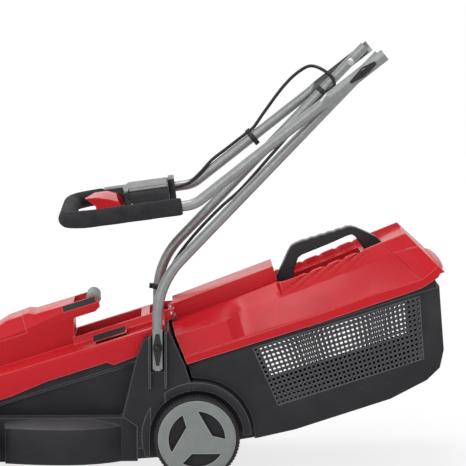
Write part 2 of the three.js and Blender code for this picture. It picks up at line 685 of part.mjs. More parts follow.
// Wedge above the chamfer along the top edge of the block and the carry arms.
function chamferWedge(sign, wall) {
  const outside = BLOCK_HALF_WIDTH + 12;
  const aboveV = BLOCK_TOP_V + 14;
  const section = ([u, footV]) => {
    const fall = (BLOCK_HALF_WIDTH - CHAMFER_TOP_Y) / (BLOCK_TOP_V - footV);
    return [
      [BLOCK_HALF_WIDTH - wall, footV - 0.35 * wall], [outside, footV - 0.35 * wall], [outside, aboveV],
      [CHAMFER_TOP_Y - (aboveV - BLOCK_TOP_V) * fall - 1.2 * wall, aboveV],
    ].map(([y, v]) => new THREE.Vector3(u, sign * y, v));
  };
  const rings = [[-380, CHAMFER_V - 18.5], [-243, CHAMFER_V - 10.5], [-160, CHAMFER_V],
    [ARM_TIP_U + 5, CHAMFER_V]].map(section);
  return loft(sign < 0 ? rings.reverse() : rings);
}

const chamfers = (wall) => sides.map(([, sign]) => chamferWedge(sign, wall));

// Strip on the chamfer of an arm, between two depths below its face.
function padStrip(sign, outer, inner, margin) {
  const slope = (BLOCK_HALF_WIDTH - CHAMFER_TOP_Y) / (BLOCK_TOP_V - CHAMFER_V);
  const at = (v, depth) => [
    sign * (BLOCK_HALF_WIDTH - (v - CHAMFER_V) * slope - depth * 0.82), v - depth * 0.57,
  ];
  const low = CHAMFER_V + 0.8 - margin;
  const high = BLOCK_TOP_V - 7 + margin;
  const points = [at(low, outer), at(high, outer), at(high, inner), at(low, inner)];
  return alongX(sign < 0 ? points : points.reverse(), PAD_FRONT_U - margin, PAD_REAR_U + margin);
}

const coverHinge = (radius, near, far) => barY(radius, COVER_HINGE_U, COVER_HINGE_V, near, far, 12);

function motorHood() {
  const rim = [
    [HOOD_REAR_U, 291.2], [-4, 291.2], [-14.8, 289.4], [-24.6, 278], [-38.4, 260.1],
    [-84.9, 256.9], [-96.8, 265.5], [-216, 264.8], [-291, HOOD_RIM_V],
  ];
  const main = acrossY([...hoodOutline(0), ...rim], -HOOD_HALF_WIDTH, HOOD_HALF_WIDTH);
  const innerHalf = HOOD_HALF_WIDTH - HOOD_WALL;
  const mainInside = acrossY([
    ...hoodOutline(HOOD_WALL), [HOOD_REAR_U - HOOD_WALL, 200], [noseLow[0] + HOOD_WALL, 200],
  ], -innerHalf, innerHalf);
  const humpFoot = HUMP_HALF_WIDTH + HUMP_DRAFT;
  const hump = alongX([
    [-humpFoot, TROUGH_FLOOR_V], [humpFoot, TROUGH_FLOOR_V], [HUMP_HALF_WIDTH, HUMP_TOP_V],
    [-HUMP_HALF_WIDTH, HUMP_TOP_V],
  ], BLOCK_REAR_U - 4, HOOD_REAR_U);
  const dips = (wall) => sides.map(([, sign]) => {
    const outer = HOOD_HALF_WIDTH - DIP_MARGIN;
    const floor = HOOD_SHELF_V - DIP_DEPTH - wall;
    return moved(alongX([
      [humpFoot - wall, floor], [outer + wall, HOOD_SHELF_V - wall], [outer + wall, HOOD_SHELF_V + 1],
      [humpFoot - wall, HOOD_SHELF_V + 1],
    ], DIP_FRONT_U - wall, DIP_REAR_U + wall), new THREE.Matrix4().makeScale(1, sign, 1));
  });
  const troughs = (wall) => [
    [BLOCK_REAR_U + 1, TROUGH_BRIDGE_FRONT_U], [TROUGH_BRIDGE_REAR_U, HOOD_REAR_U - 8],
  ].map(([front, rear]) => block([front - wall, rear + wall],
    [-TROUGH_HALF_WIDTH - wall, TROUGH_HALF_WIDTH + wall], [TROUGH_FLOOR_V - wall, HUMP_TOP_V + 1]));
  const housing = cut(acrossY(blockOutline(0), -BLOCK_HALF_WIDTH, BLOCK_HALF_WIDTH), ...chamfers(0));
  const housingInside = cut(acrossY(
    [...blockOutline(HOOD_WALL).slice(1, -1), [BLOCK_REAR_U - 4 - HOOD_WALL, HOOD_SHELF_V],
      [-350, HOOD_SHELF_V]],
    -BLOCK_HALF_WIDTH + HOOD_WALL, BLOCK_HALF_WIDTH - HOOD_WALL), ...chamfers(HOOD_WALL));
  const coverBay = block([-400, COVER_SEAM_U], [-100, 100], [COVER_SKIRT_V, 500]);
  const armTop = BLOCK_TOP_V - 6;
  const armLow = armTop - ARM_HEIGHT;
  const arms = sides.map(([, sign]) => {
    const span = [BLOCK_HALF_WIDTH, BLOCK_HALF_WIDTH - ARM_WIDTH].map((y) => sign * y).sort((a, b) => a - b);
    return cut(acrossY([
      [BLOCK_REAR_U - 2, armLow], [ARM_TIP_U - 12, armLow], [ARM_TIP_U - 1, armLow + 6],
      [ARM_TIP_U, armLow + 12], [ARM_TIP_U - 1, armLow + 18], [ARM_TIP_U - 5, armTop],
      [BLOCK_REAR_U - 2, armTop],
    ], ...span), ...chamfers(0));
  });
  const padPockets = sides.map(([, sign]) => padStrip(sign, -1, PAD_THICKNESS + GAP, GAP));
  const ears = sides.map(([, sign]) => {
    const y = sign * (FLAP_HALF_WIDTH + 1);
    return acrossY([[HOOD_REAR_U - 6, 291.2], [FLAP_ROD_U + 5, 295], [FLAP_ROD_U + 7, FLAP_ROD_V],
      [FLAP_ROD_U + 4, FLAP_ROD_V + 7], [FLAP_ROD_U - 6, FLAP_ROD_V + 9], [HOOD_REAR_U - 6, HUMP_TOP_V]],
    Math.min(y, y + sign * 5), Math.max(y, y + sign * 5));
  });
  const rodHole = barY(FLAP_ROD_RADIUS + RUN, FLAP_ROD_U, FLAP_ROD_V, -200, 200, 12);
  const cableHole = barZ(
    CABLE_RADIUS + 3, CABLE_HOLE_U, CABLE_HOLE_Y, HOOD_SHELF_V - 10, HOOD_SHELF_V + 10, 12);
  const underSkin = cut(mainInside, ...dips(HOOD_WALL), ...troughs(HOOD_WALL));
  const humpAboveDip = cut(hump, ...troughs(0));
  const shell = cut(join(cut(main, ...dips(0), ...troughs(0)), humpAboveDip, housing), underSkin);
  const knuckles = sides.map(([, sign]) => {
    const ends = [COVER_HINGE_HALF + GAP, COVER_KNUCKLE_END].map((y) => sign * y).sort((a, b) => a - b);
    return coverHinge(COVER_HINGE_RADIUS, ...ends);
  });
  const barrelRoom = coverHinge(COVER_HINGE_RADIUS + GAP, -COVER_HINGE_HALF - GAP, COVER_HINGE_HALF + GAP);
  const pin = coverHinge(COVER_PIN_RADIUS, 1 - COVER_KNUCKLE_END, COVER_KNUCKLE_END - 1);
  const hollow = join(cut(shell, housingInside, coverBay), ...arms, ...ears, ...knuckles);
  return cut(hollow, ...padPockets, rodHole, cableHole, barrelRoom).add(pin);
}

add('motor_hood', motorHood(), redPlastic, raked);

function batteryCover() {
  const wall = 2.4;
  const region = block([-500, COVER_SEAM_U - GAP], [-100, 100], [COVER_SKIRT_V + GAP, 500]);
  const outer = cut(acrossY(blockOutline(0), -BLOCK_HALF_WIDTH, BLOCK_HALF_WIDTH), ...chamfers(0));
  const inner = cut(acrossY(blockOutline(wall), -BLOCK_HALF_WIDTH + wall, BLOCK_HALF_WIDTH - wall),
    ...chamfers(wall));
  const knuckleEnd = COVER_KNUCKLE_END + GAP;
  const knuckleRoom = cut(coverHinge(COVER_HINGE_RADIUS + GAP, -knuckleEnd, knuckleEnd),
    coverHinge(COVER_HINGE_RADIUS + 1, -COVER_HINGE_HALF, COVER_HINGE_HALF));
  const barrel = coverHinge(COVER_HINGE_RADIUS, -COVER_HINGE_HALF, COVER_HINGE_HALF);
  return cut(join(cut(outer.intersect(region), inner), barrel), knuckleRoom,
    coverHinge(COVER_PIN_RADIUS + RUN, -60, 60));
}

add('battery_cover', batteryCover(), redPlastic, raked);

function batteryPack() {
  const low = BATTERY_FLOOR_V;
  const high = low + BATTERY_HEIGHT;
  const bevel = 10;
  return alongX([
    [-BATTERY_HALF_WIDTH, low], [BATTERY_HALF_WIDTH, low], [BATTERY_HALF_WIDTH, high - bevel],
    [BATTERY_HALF_WIDTH - bevel, high], [bevel - BATTERY_HALF_WIDTH, high],
    [-BATTERY_HALF_WIDTH, high - bevel],
  ], BATTERY_FRONT_U, BATTERY_REAR_U).intersect(acrossY([
    [BATTERY_FRONT_U, low], [BATTERY_FRONT_U, low + 24], [BATTERY_FRONT_U + 26, high + 1],
    [BATTERY_REAR_U, high + 1], [BATTERY_REAR_U, low],
  ], -100, 100));
}

add('battery_pack', batteryPack(), blackPlastic, raked);

const terminalArmY = [BATTERY_HALF_WIDTH + GAP, BLOCK_HALF_WIDTH - HOOD_WALL - GAP];
const keyY = (terminalArmY[0] + terminalArmY[1]) / 2;
const keyFoot = BATTERY_FLOOR_V + TERMINAL_HEIGHT - KEY_DEPTH;

function keyBlock(length, thickness, fromV, toV) {
  const about = (middle, width) => [middle - width / 2, middle + width / 2];
  return block(about(KEY_U, length), about(keyY, thickness), [fromV, toV]);
}

// Contact block behind the pack, with an arm beside it that holds the key.
function batteryTerminal() {
  const top = BATTERY_FLOOR_V + TERMINAL_HEIGHT;
  const rear = block([BATTERY_REAR_U + GAP, TERMINAL_REAR_U], [-24, terminalArmY[1]], [BATTERY_FLOOR_V, top]);
  const arm = block([KEY_U - KEY_LENGTH, TERMINAL_REAR_U], terminalArmY, [BATTERY_FLOOR_V, top]);
  const socket = keyBlock(KEY_LENGTH + 2 * RUN, KEY_THICKNESS + 2 * RUN, keyFoot - GAP, top + 1);
  return cut(join(rear, arm), socket);
}

add('battery_terminal', batteryTerminal(), darkGreyPlastic, raked);

function safetyKey() {
  const top = keyFoot + KEY_HEIGHT;
  const stem = keyBlock(KEY_LENGTH, KEY_THICKNESS, keyFoot, top);
  return cut(stem, barY(KEY_HOLE_RADIUS, KEY_U, top - KEY_HOLE_DROP, keyY - 10, keyY + 10, 12));
}

add('safety_key', safetyKey(), redPlastic, raked);

function carryGrip() {
  const half = BLOCK_HALF_WIDTH - ARM_WIDTH - GAP;
  return barY(CARRY_BAR_RADIUS, CARRY_BAR_U, CARRY_BAR_V, -half, half, 20);
}

add('carry_grip', carryGrip(), greyPlastic, raked);

for (const [side, sign] of sides) {
  add(`carry_pad_${side}`, padStrip(sign, 0, PAD_THICKNESS, 0), darkGreyPlastic, raked);
}

// ---------------------------------------------------------------- motor, blade and controller

const motorFoot = DRUM_ROOF_Z + GAP;

add('motor_can', shifted(turned(closed([
  [SHAFT_RADIUS + 3, motorFoot], [MOTOR_RADIUS, motorFoot], [MOTOR_RADIUS, motorFoot + MOTOR_HEIGHT],
  [SHAFT_RADIUS + RUN, motorFoot + MOTOR_HEIGHT], [SHAFT_RADIUS + RUN, motorFoot + MOTOR_HEIGHT - 5],
  [MOTOR_RADIUS - 10, motorFoot + MOTOR_HEIGHT - 5], [MOTOR_RADIUS - 10, motorFoot + 5],
  [SHAFT_RADIUS + 3, motorFoot + 5],
]), 'z', 24), DRUM_X, 0, 0), steel);

const bladeTop = BLADE_Z + BLADE_THICKNESS;
const shaftFoot = bladeTop + GAP;

add('motor_rotor', shifted(turned([
  [0, motorFoot + MOTOR_HEIGHT + 6], [SHAFT_RADIUS, motorFoot + MOTOR_HEIGHT + 6],
  [SHAFT_RADIUS, motorFoot + MOTOR_HEIGHT - 8], [MOTOR_RADIUS - 14, motorFoot + MOTOR_HEIGHT - 8],
  [MOTOR_RADIUS - 14, motorFoot + 10], [SHAFT_RADIUS, motorFoot + 10], [SHAFT_RADIUS, shaftFoot],
  [4.2 + RUN, shaftFoot], [4.2 + RUN, shaftFoot + 24], [0, shaftFoot + 24],
], 'z', 20), DRUM_X, 0, 0), steel);

function bladeHolder() {
  const hub = turned(closed([
    [SHAFT_RADIUS + RUN, shaftFoot], [24, shaftFoot], [24, shaftFoot + 8], [60, shaftFoot + 10],
    [60, shaftFoot + 13], [16, shaftFoot + 14], [13, shaftFoot + 36], [SHAFT_RADIUS + RUN, shaftFoot + 36],
  ]), 'z', 24);
  const fins = [];
  for (let i = 0; i < 8; i += 1) {
    const fin = block([18, 58], [-1.2, 1.2], [shaftFoot + 11, shaftFoot + 28]);
    fins.push(moved(fin, new THREE.Matrix4().makeRotationZ((Math.PI * i) / 4)));
  }
  return shifted(join(hub, ...fins), DRUM_X, 0, 0);
}

add('blade_holder', bladeHolder(), blackPlastic);

function blade() {
  const half = BLADE_LENGTH / 2;
  const plate = block([-half, half], [-BLADE_WIDTH / 2, BLADE_WIDTH / 2], [BLADE_Z, bladeTop]);
  const wing = (turn) => moved(alongX([
    [-BLADE_WIDTH / 2, BLADE_Z + 0.5], [-BLADE_WIDTH / 2 + 14, BLADE_Z + 0.5],
    [-BLADE_WIDTH / 2 + 14, bladeTop], [-BLADE_WIDTH / 2 + 4, bladeTop + 9],
    [-BLADE_WIDTH / 2, bladeTop + 9],
  ], half - 62, half - 4), new THREE.Matrix4().makeRotationZ(turn));
  const holes = barZ(4.2 + RUN, 0, 0, 0, 100, 12);
  return shifted(cut(join(plate, wing(0), wing(Math.PI)), holes), DRUM_X, 0, 0);
}

add('blade', blade(), steel);

add('blade_bolt', shifted(turned([
  [0, BLADE_Z - 9], [8, BLADE_Z - 9], [8, BLADE_Z - 2.6], [14, BLADE_Z - 2.6], [14, BLADE_Z - GAP],
  [4.2, BLADE_Z - GAP], [4.2, shaftFoot + 22], [0, shaftFoot + 22],
], 'z', 12), DRUM_X, 0, 0), steel);

add('controller_box', block([DRUM_X + MOTOR_RADIUS + 14, DRUM_X + MOTOR_RADIUS + 70], [-46, 46],
  [motorFoot, motorFoot + 26]), darkGreyPlastic);

// ---------------------------------------------------------------- wheels and axles

const wheelFace = WHEEL_WIDTH / 2;

function wheel(radius) {
  return turned(closed([
    [AXLE_RADIUS + RUN, -wheelFace], [HUB_RADIUS, -wheelFace], [HUB_RADIUS, 4],
    [radius - TYRE_THICKNESS - 4, 4], [radius - TYRE_THICKNESS - 4, -wheelFace],
    [radius - 4, -wheelFace], [radius, -wheelFace + 5], [radius, wheelFace - 5],
    [radius - 3, wheelFace], [radius - TYRE_THICKNESS, wheelFace], [radius - TYRE_THICKNESS, 9],
    [AXLE_RADIUS + RUN, 9],
  ]), 'y', WHEEL_SIDES);
}

function hubCap(radius) {
  const scale = radius / REAR_WHEEL_RADIUS;
  const rimOuter = radius - TYRE_THICKNESS - GAP;
  const low = wheelFace - CAP_THICKNESS;
  const disc = barY(rimOuter, 0, 0, low, wheelFace + 0.6, WHEEL_SIDES);
  const polar = (r, degrees) => [r * Math.cos(radians(degrees)), r * Math.sin(radians(degrees))];
  const windows = [0, 120, 240].map((turn) => {
    const arc = [];
    for (let i = 0; i <= 6; i += 1) {
      arc.push(polar(WINDOW_ARC * scale, turn + (WINDOW_SPAN * i) / 6));
    }
    return acrossY([...arc, polar(WINDOW_APEX_RADIUS * scale, turn + WINDOW_APEX)], 0, 60);
  });
  return cut(disc, ...windows, barY(9 + GAP, 0, 0, 0, wheelFace - 2, 16));
}

function axle([x, z]) {
  const reach = WHEEL_CENTRE_Y + 9 + GAP;
  const collars = sides.map(([, sign]) => {
    const from = sign * reach;
    const to = sign * (reach + 4);
    return barY(9, x, z, Math.min(from, to), Math.max(from, to), 16);
  });
  return join(barY(AXLE_RADIUS, x, z, -reach - 4, reach + 4, 16), ...collars);
}

const wheelSets = [['rear', rearAxle, REAR_WHEEL_RADIUS], ['front', frontAxle, FRONT_WHEEL_RADIUS]];
for (const [end, place, radius] of wheelSets) {
  add(`axle_${end}`, axle(place), steel);
  for (const [side, sign] of sides) {
    const carrier = new THREE.Group();
    carrier.position.set(place[0], sign * WHEEL_CENTRE_Y, place[1]);
    if (sign < 0) carrier.rotation.x = Math.PI;
    mower.add(carrier);
    add(`wheel_${end}_${side}`, wheel(radius), rubber, carrier);
    add(`hub_cap_${end}_${side}`, hubCap(radius), greyPlastic, carrier);
  }
}

// ---------------------------------------------------------------- catcher (raked)

const bodyBottom = [
  [CATCHER_FRONT_U, RIM_V - GAP], [CATCHER_FRONT_U, 104], [100, 43], [135, 38], [208, 32], [400, 34],
  [477, 48], [508, 64], [525, 95], [552, RIM_V - GAP],
];

// The outline moved inwards by one wall; it must run with its inside on the left.
function insetOutline(points, wall) {
  const ring = points.map(([x, y]) => new THREE.Vector2(x, y));
  return ring.map((point, i) => {
    const before = ring[(i + ring.length - 1) % ring.length];
    const after = ring[(i + 1) % ring.length];
    const into = point.clone().sub(before).normalize();
    const out = after.clone().sub(point).normalize();
    const normalIn = new THREE.Vector2(-into.y, into.x);
    const normalOut = new THREE.Vector2(-out.y, out.x);
    const mean = normalIn.clone().add(normalOut).normalize();
    return point.clone().addScaledVector(mean, wall / mean.dot(normalIn)).toArray();
  });
}

function catcherShell(sign) {
  const range = (near, far) => (sign < 0 ? [-far, -near] : [near, far]);
  const archInner = 131;
  const arch = (radius, near, far) => moved(
    barY(radius, ...rearAxle, ...range(near, far), 28), rake.clone().invert());
  const outer = cut(acrossY(bodyBottom, ...range(GAP / 2, CATCHER_HALF_WIDTH)),
    arch(CATCHER_ARCH_RADIUS, archInner, 300));
  const inset = insetOutline(bodyBottom, CATCHER_WALL);
  inset[0] = [CATCHER_FRONT_U + CATCHER_WALL, RIM_V + 20];
  inset[inset.length - 1][1] = RIM_V + 20;
  const inner = cut(acrossY(inset, ...range(-1, CATCHER_HALF_WIDTH - CATCHER_WALL)),
    arch(CATCHER_ARCH_RADIUS + CATCHER_WALL, archInner - CATCHER_WALL, 300));
  const mouth = block(
    [0, CATCHER_FRONT_U + CATCHER_WALL + 1], range(-1, CHUTE_HALF_WIDTH), [110, RIM_V + 20]);
  const slots = [];
  for (let row = 0; row < GRILLE_ROWS; row += 1) {
    const v = RIM_V - 12 - row * GRILLE_PITCH;
    const lean = 0.11 * (RIM_V - v);
    slots.push(block([178 + lean, 508 - 2.1 * lean],
      range(CATCHER_HALF_WIDTH - 20, CATCHER_HALF_WIDTH + 5), [v - GRILLE_SLOT, v]));
  }
  return cut(outer, inner, mouth, ...slots);
}

const catcherHandleFeet = { front: 280, rear: 456 };
const lidTop = (u) => 287.4 + 0.0805 * (u - 38);

function catcherLid() {
  const rim = acrossY([[47, RIM_V], [525, RIM_V], [565, RIM_V + 14], [577, RIM_V + 24], [572, RIM_V + 34],
      [556, RIM_V + 25], [521, RIM_V + RIM_HEIGHT], [46, RIM_V + RIM_HEIGHT],
    ], -RIM_HALF_WIDTH, RIM_HALF_WIDTH);
  const side = (inset) => [
    [47 + inset, RIM_V + 2 - 20 * Math.sign(inset)], [38.5 + inset, lidTop(38) - inset],
    [473, lidTop(473) - inset], [524 - inset / 2, lidTop(473) - 1 - inset],
    [574 - inset, RIM_V + 28], [566 - inset, RIM_V + 2 - 20 * Math.sign(inset)],
  ];
  const tilt = Math.atan(0.0805);
  const crossSection = (inset) => {
    const half = LID_HALF_WIDTH - inset;
    const crease = 268 - inset;
    return moved(alongX([
      [-half, 120], [half, 120], [half - 7, crease], [LID_PLATEAU_HALF_WIDTH, 286.5 - inset],
      [LID_PLATEAU_HALF_WIDTH, 330], [-LID_PLATEAU_HALF_WIDTH, 330],
      [-LID_PLATEAU_HALF_WIDTH, 286.5 - inset], [7 - half, crease],
    ], -60, 700), new THREE.Matrix4().makeRotationY(-tilt));
  };
  const dome = acrossY(side(0), -LID_HALF_WIDTH, LID_HALF_WIDTH).intersect(crossSection(0));
  const inside = acrossY(side(LID_WALL), -LID_HALF_WIDTH, LID_HALF_WIDTH).intersect(crossSection(LID_WALL));
  const pocket = acrossY([
    [300, 400], [300, lidTop(300) - 12], [430, lidTop(430) - 12], [430, 400],
  ], -14, 14);
  const pocketSkin = acrossY([
    [297, lidTop(297) - 1], [297, lidTop(297) - 15], [433, lidTop(433) - 15], [433, lidTop(433) - 1],
  ], -17, 17);
  return cut(join(cut(join(rim, dome), inside), pocketSkin), pocket);
}

for (const [side, sign] of sides) {
  add(`catcher_shell_${side}`, catcherShell(sign), blackPlastic, raked);
}
add('catcher_lid', catcherLid(), redPlastic, raked);

function catcherHandle() {
  const { front, rear } = catcherHandleFeet;
  return acrossY([
    [front - 17, lidTop(front - 17) + GAP], [front + 27, 355], [front + 31, 357], [427, 358],
    [rear + 15, lidTop(rear + 15) + GAP], [rear - 15, lidTop(rear - 15) + GAP], [424, 330],
    [front + 34, 328], [front + 17, lidTop(front + 17) + GAP],
  ], -12, 12);
}

add('catcher_handle', catcherHandle(), blackPlastic, raked);

// ---------------------------------------------------------------- rear flap (raked)

function rearFlap() {
  const top = (u) => 321 + 0.06 * (u - FLAP_FRONT_U);
  const low = (u) => lidTop(u) + GAP;
  const outline = (inset) => [
    [FLAP_FRONT_U + inset, low(FLAP_FRONT_U) - 40 * Math.sign(inset)],
    [FLAP_FRONT_U + inset, top(FLAP_FRONT_U) - inset], [FLAP_REAR_U - inset, top(FLAP_REAR_U) - inset],
    [FLAP_REAR_U - inset, low(FLAP_REAR_U) - 40 * Math.sign(inset)],
  ];
  const shell = acrossY(outline(0), -FLAP_HALF_WIDTH, FLAP_HALF_WIDTH).subtract(
    acrossY(outline(FLAP_WALL), -FLAP_HALF_WIDTH + FLAP_WALL, FLAP_HALF_WIDTH - FLAP_WALL));
  const barrel = join(
    barY(FLAP_ROD_RADIUS + 3.5, FLAP_ROD_U, FLAP_ROD_V, -FLAP_HALF_WIDTH, FLAP_HALF_WIDTH, 16),
    block([FLAP_ROD_U, FLAP_FRONT_U + 1], [-FLAP_HALF_WIDTH, FLAP_HALF_WIDTH],
      [FLAP_ROD_V - 3, FLAP_ROD_V + 5]));
  const springBay = block([FLAP_ROD_U - 20, FLAP_FRONT_U - 0.6], [-13, 13], [280, 330]);
  const bore = barY(FLAP_ROD_RADIUS + RUN, FLAP_ROD_U, FLAP_ROD_V, -200, 200, 12);
  return join(shell, barrel.subtract(springBay)).subtract(bore);
}

add('rear_flap', rearFlap(), redPlastic, raked);
add('flap_rod', barY(FLAP_ROD_RADIUS, FLAP_ROD_U, FLAP_ROD_V, -FLAP_HALF_WIDTH - 8, FLAP_HALF_WIDTH + 8, 12),
  steel, raked);
add('flap_spring', shifted(turned(closed([
  [FLAP_ROD_RADIUS + RUN, -11], [FLAP_ROD_RADIUS + 2.4, -11], [FLAP_ROD_RADIUS + 2.4, 11],
  [FLAP_ROD_RADIUS + RUN, 11],
]), 'y', 12), FLAP_ROD_U, 0, FLAP_ROD_V), steel, raked);

// ---------------------------------------------------------------- handle tubes

function lowerTube(y) {
  const end = foldPivot.clone().addScaledVector(pivotOffset, LOWER_OVERRUN);
  const route = rounded([
    { point: new THREE.Vector3(LOWER_TUBE_X, y, LOWER_TUBE_FOOT_Z) },
    { point: atY(lowerBend, y), radius: LOWER_BEND_RADIUS },
    { point: atY(end, y) },
  ]);
  const tube = tubeAlong(route, TUBE_RADIUS, TUBE_RADIUS - TUBE_WALL);
  const outward = Math.sign(y);
  const flat = y + outward * (TUBE_RADIUS - 4);
  const seatZ = [CLAMP_Z - SADDLE_LENGTH / 2 - 2, CLAMP_Z + SADDLE_LENGTH / 2 + 2];
  const seatCut = block([LOWER_TUBE_X - 20, LOWER_TUBE_X + 20],
    [Math.min(flat, flat + outward * 20), Math.max(flat, flat + outward * 20)], seatZ);
  const plate = block([LOWER_TUBE_X - TUBE_RADIUS * 0.75, LOWER_TUBE_X + TUBE_RADIUS * 0.75],
    [Math.min(flat, flat - outward * TUBE_WALL), Math.max(flat, flat - outward * TUBE_WALL)],
    [seatZ[0] - 2, seatZ[1] + 2]);
  const boltHoles = [
    barY(BOLT_RADIUS + RUN, LOWER_TUBE_X, CLAMP_Z, y - 20, y + 20, 12),
    barY(BOLT_RADIUS + RUN, foldPivot.x, foldPivot.z, y - 20, y + 20, 12),
  ];
  return cut(join(cut(tube, seatCut), plate), ...boltHoles);
}

const upperAcross = new THREE.Vector3(-upperAlong.z, 0, upperAlong.x);

// Section of the pressed end: a shallow channel, hollow side towards the lower tube.
function pressedSection(sign, distance) {
  const half = PRESSED_WIDTH / 2;
  const seatY = LOWER_TUBE_Y + TUBE_RADIUS + GAP;
  const centre = foldPivot.clone().addScaledVector(upperAlong, distance);
  const fractions = [-1, -0.6, 0, 0.6, 1];
  const arc = (rise, edge) => fractions.map((f) => centre.clone().addScaledVector(upperAcross, f * half)
    .setY(sign * (seatY + edge + rise * (1 - f * f))));
  const innerDepth = PRESSED_DEPTH + PRESSED_WALL - PRESSED_EDGE;
  return [...arc(PRESSED_DEPTH, 0), ...arc(innerDepth, PRESSED_EDGE).reverse()];
}

// Points round the tube in the order of the pressed section.
function roundSection(sign, distance, radius) {
  const centre = foldPivot.clone().addScaledVector(upperAlong, distance).setY(sign * UPPER_TUBE_Y);
  return Array.from({ length: TUBE_SIDES }, (_, i) => {
    const angle = (2 * Math.PI * (i + 0.5)) / TUBE_SIDES;
    return centre.clone().addScaledVector(upperAcross, -radius * Math.cos(angle))
      .add(new THREE.Vector3(0, -sign * radius * Math.sin(angle), 0));
  });
}

function pressedEnd(sign) {
  const roundAt = -PRESSED_START - PRESSED_FADE;
  return loft([
    roundSection(sign, roundAt, TUBE_RADIUS - 0.3), pressedSection(sign, -PRESSED_START),
    pressedSection(sign, UPPER_OVERRUN),
  ]);
}

const upperTubeStart = foldPivot.clone().addScaledVector(upperAlong, -PRESSED_START - PRESSED_FADE + 1);

function upperTubeRoute() {
  const bar = upperBend.clone().addScaledVector(gripAlong, -GRIP_LENGTH);
  const y = UPPER_TUBE_Y;
  return [
    { point: atY(upperTubeStart, -y) }, { point: atY(upperBend, -y), radius: UPPER_BEND_RADIUS },
    { point: atY(bar, -y), radius: GRIP_CORNER_RADIUS }, { point: atY(bar, y), radius: GRIP_CORNER_RADIUS },
    { point: atY(upperBend, y), radius: UPPER_BEND_RADIUS }, { point: atY(upperTubeStart, y) },
  ];
}

function upperTube() {
  const tube = tubeAlong(rounded(upperTubeRoute(), 15), TUBE_RADIUS, TUBE_RADIUS - TUBE_WALL);
  const holes = sides.map(([, sign]) => barY(
    BOLT_RADIUS + RUN, foldPivot.x, foldPivot.z, sign * UPPER_TUBE_Y - 20, sign * UPPER_TUBE_Y + 20, 12));
  const drainAt = upperBend.clone().addScaledVector(upperAlong, 60);
  const drain = bar(2.5, [drainAt.x, UPPER_TUBE_Y, drainAt.z - 20], [drainAt.x, UPPER_TUBE_Y, drainAt.z], 8);
  return cut(join(tube, pressedEnd(-1), pressedEnd(1)), ...holes, drain);
}

function foamGrip() {
  const corners = upperTubeRoute();
  const start = upperBend.clone().addScaledVector(gripAlong, -FOAM_LEFT_START);
  const end = upperBend.clone().addScaledVector(gripAlong, BOX_ARM_FRONT_X - GAP);
  const route = rounded([
    { point: atY(start, -UPPER_TUBE_Y) }, corners[2], corners[3], { point: atY(end, UPPER_TUBE_Y) },
  ], 15);
  return tubeAlong(route, FOAM_RADIUS, TUBE_RADIUS + GAP);
}

for (const [side, sign] of sides) add(`lower_tube_${side}`, lowerTube(sign * LOWER_TUBE_Y), greyPaint);
add('upper_tube', upperTube(), greyPaint);
add('foam_grip', foamGrip(), foam);

// ---------------------------------------------------------------- clamps

// Built with the bolt on Y through the origin and the lever arm along -X, outward +Y.
function saddle(seatY) {
  const half = SADDLE_LENGTH / 2;
  const wide = SADDLE_WIDTH / 2;
  const plan = [
    [-half, -wide * 0.5], [-half * 0.5, -wide], [half * 0.5, -wide], [half, -wide * 0.5],
    [half, wide * 0.5], [half * 0.5, wide], [-half * 0.5, wide], [-half, wide * 0.5],
  ];
  const hole = barY(BOLT_RADIUS + RUN, 0, 0, seatY - 1, seatY + SADDLE_THICKNESS + 1, 12);
  return cut(acrossY(plan, seatY, seatY + SADDLE_THICKNESS), hole);
}

function clampBolt(headY, seatY) {
  const tip = seatY + SADDLE_THICKNESS + GAP + CAM_RADIUS;
  const shank = barY(BOLT_RADIUS, 0, 0, headY, tip + 2, 12);
  const head = barY(7, 0, 0, headY, headY + 3, 12);
  const eye = bar(2.2, [0, tip, -20], [0, tip, 20], 10);
  const flats = [-1, 1].map((s) => block([-9, 9], [tip - 5, tip + 5],
    s < 0 ? [-9, -BOLT_RADIUS + 0.6] : [BOLT_RADIUS - 0.6, 9]));
  return cut(join(shank, head), ...flats, eye);
}

function clampLever(seatY) {
  const tip = seatY + SADDLE_THICKNESS + GAP + CAM_RADIUS;
  const half = LEVER_WIDTH / 2;
  const cam = bar(CAM_RADIUS, [0, tip, -half], [0, tip, half], 16);
  const arm = hullOf([
    [-2, tip - 3, -half], [-2, tip + 6, -half],
    [-LEVER_LENGTH, tip - 1, -half * 0.6], [-LEVER_LENGTH, tip + 3, -half * 0.6],
    [-2, tip - 3, half], [-2, tip + 6, half],
    [-LEVER_LENGTH, tip - 1, half * 0.6], [-LEVER_LENGTH, tip + 3, half * 0.6],
  ].map((p) => new THREE.Vector3(...p)));
  const fork = block([-6, 20], [tip - 12, tip + 12], [-BOLT_RADIUS, BOLT_RADIUS]);
  const pin = bar(1.9, [0, tip, -half + 0.5], [0, tip, half - 0.5], 10);
  return join(cut(join(cam, arm), fork), pin);
}

const foldSeatY = LOWER_TUBE_Y + TUBE_RADIUS + GAP + PRESSED_DEPTH + PRESSED_WALL + GAP;
const lowerSeatY = LOWER_TUBE_Y + TUBE_RADIUS - 4 + GAP;
const clampSites = [
  { name: 'fold',
    x: foldPivot.x,
    z: foldPivot.z,
    tilt: -UPPER_ANGLE,
    seatY: foldSeatY,
    headY: LOWER_TUBE_Y - TUBE_RADIUS - GAP - 3 },
  { name: 'lower',
    x: LOWER_TUBE_X,
    z: CLAMP_Z,
    tilt: -90,
    seatY: lowerSeatY,
    headY: LOWER_TUBE_Y - TUBE_RADIUS - 2 * GAP - DECK_WALL - 3 },
];

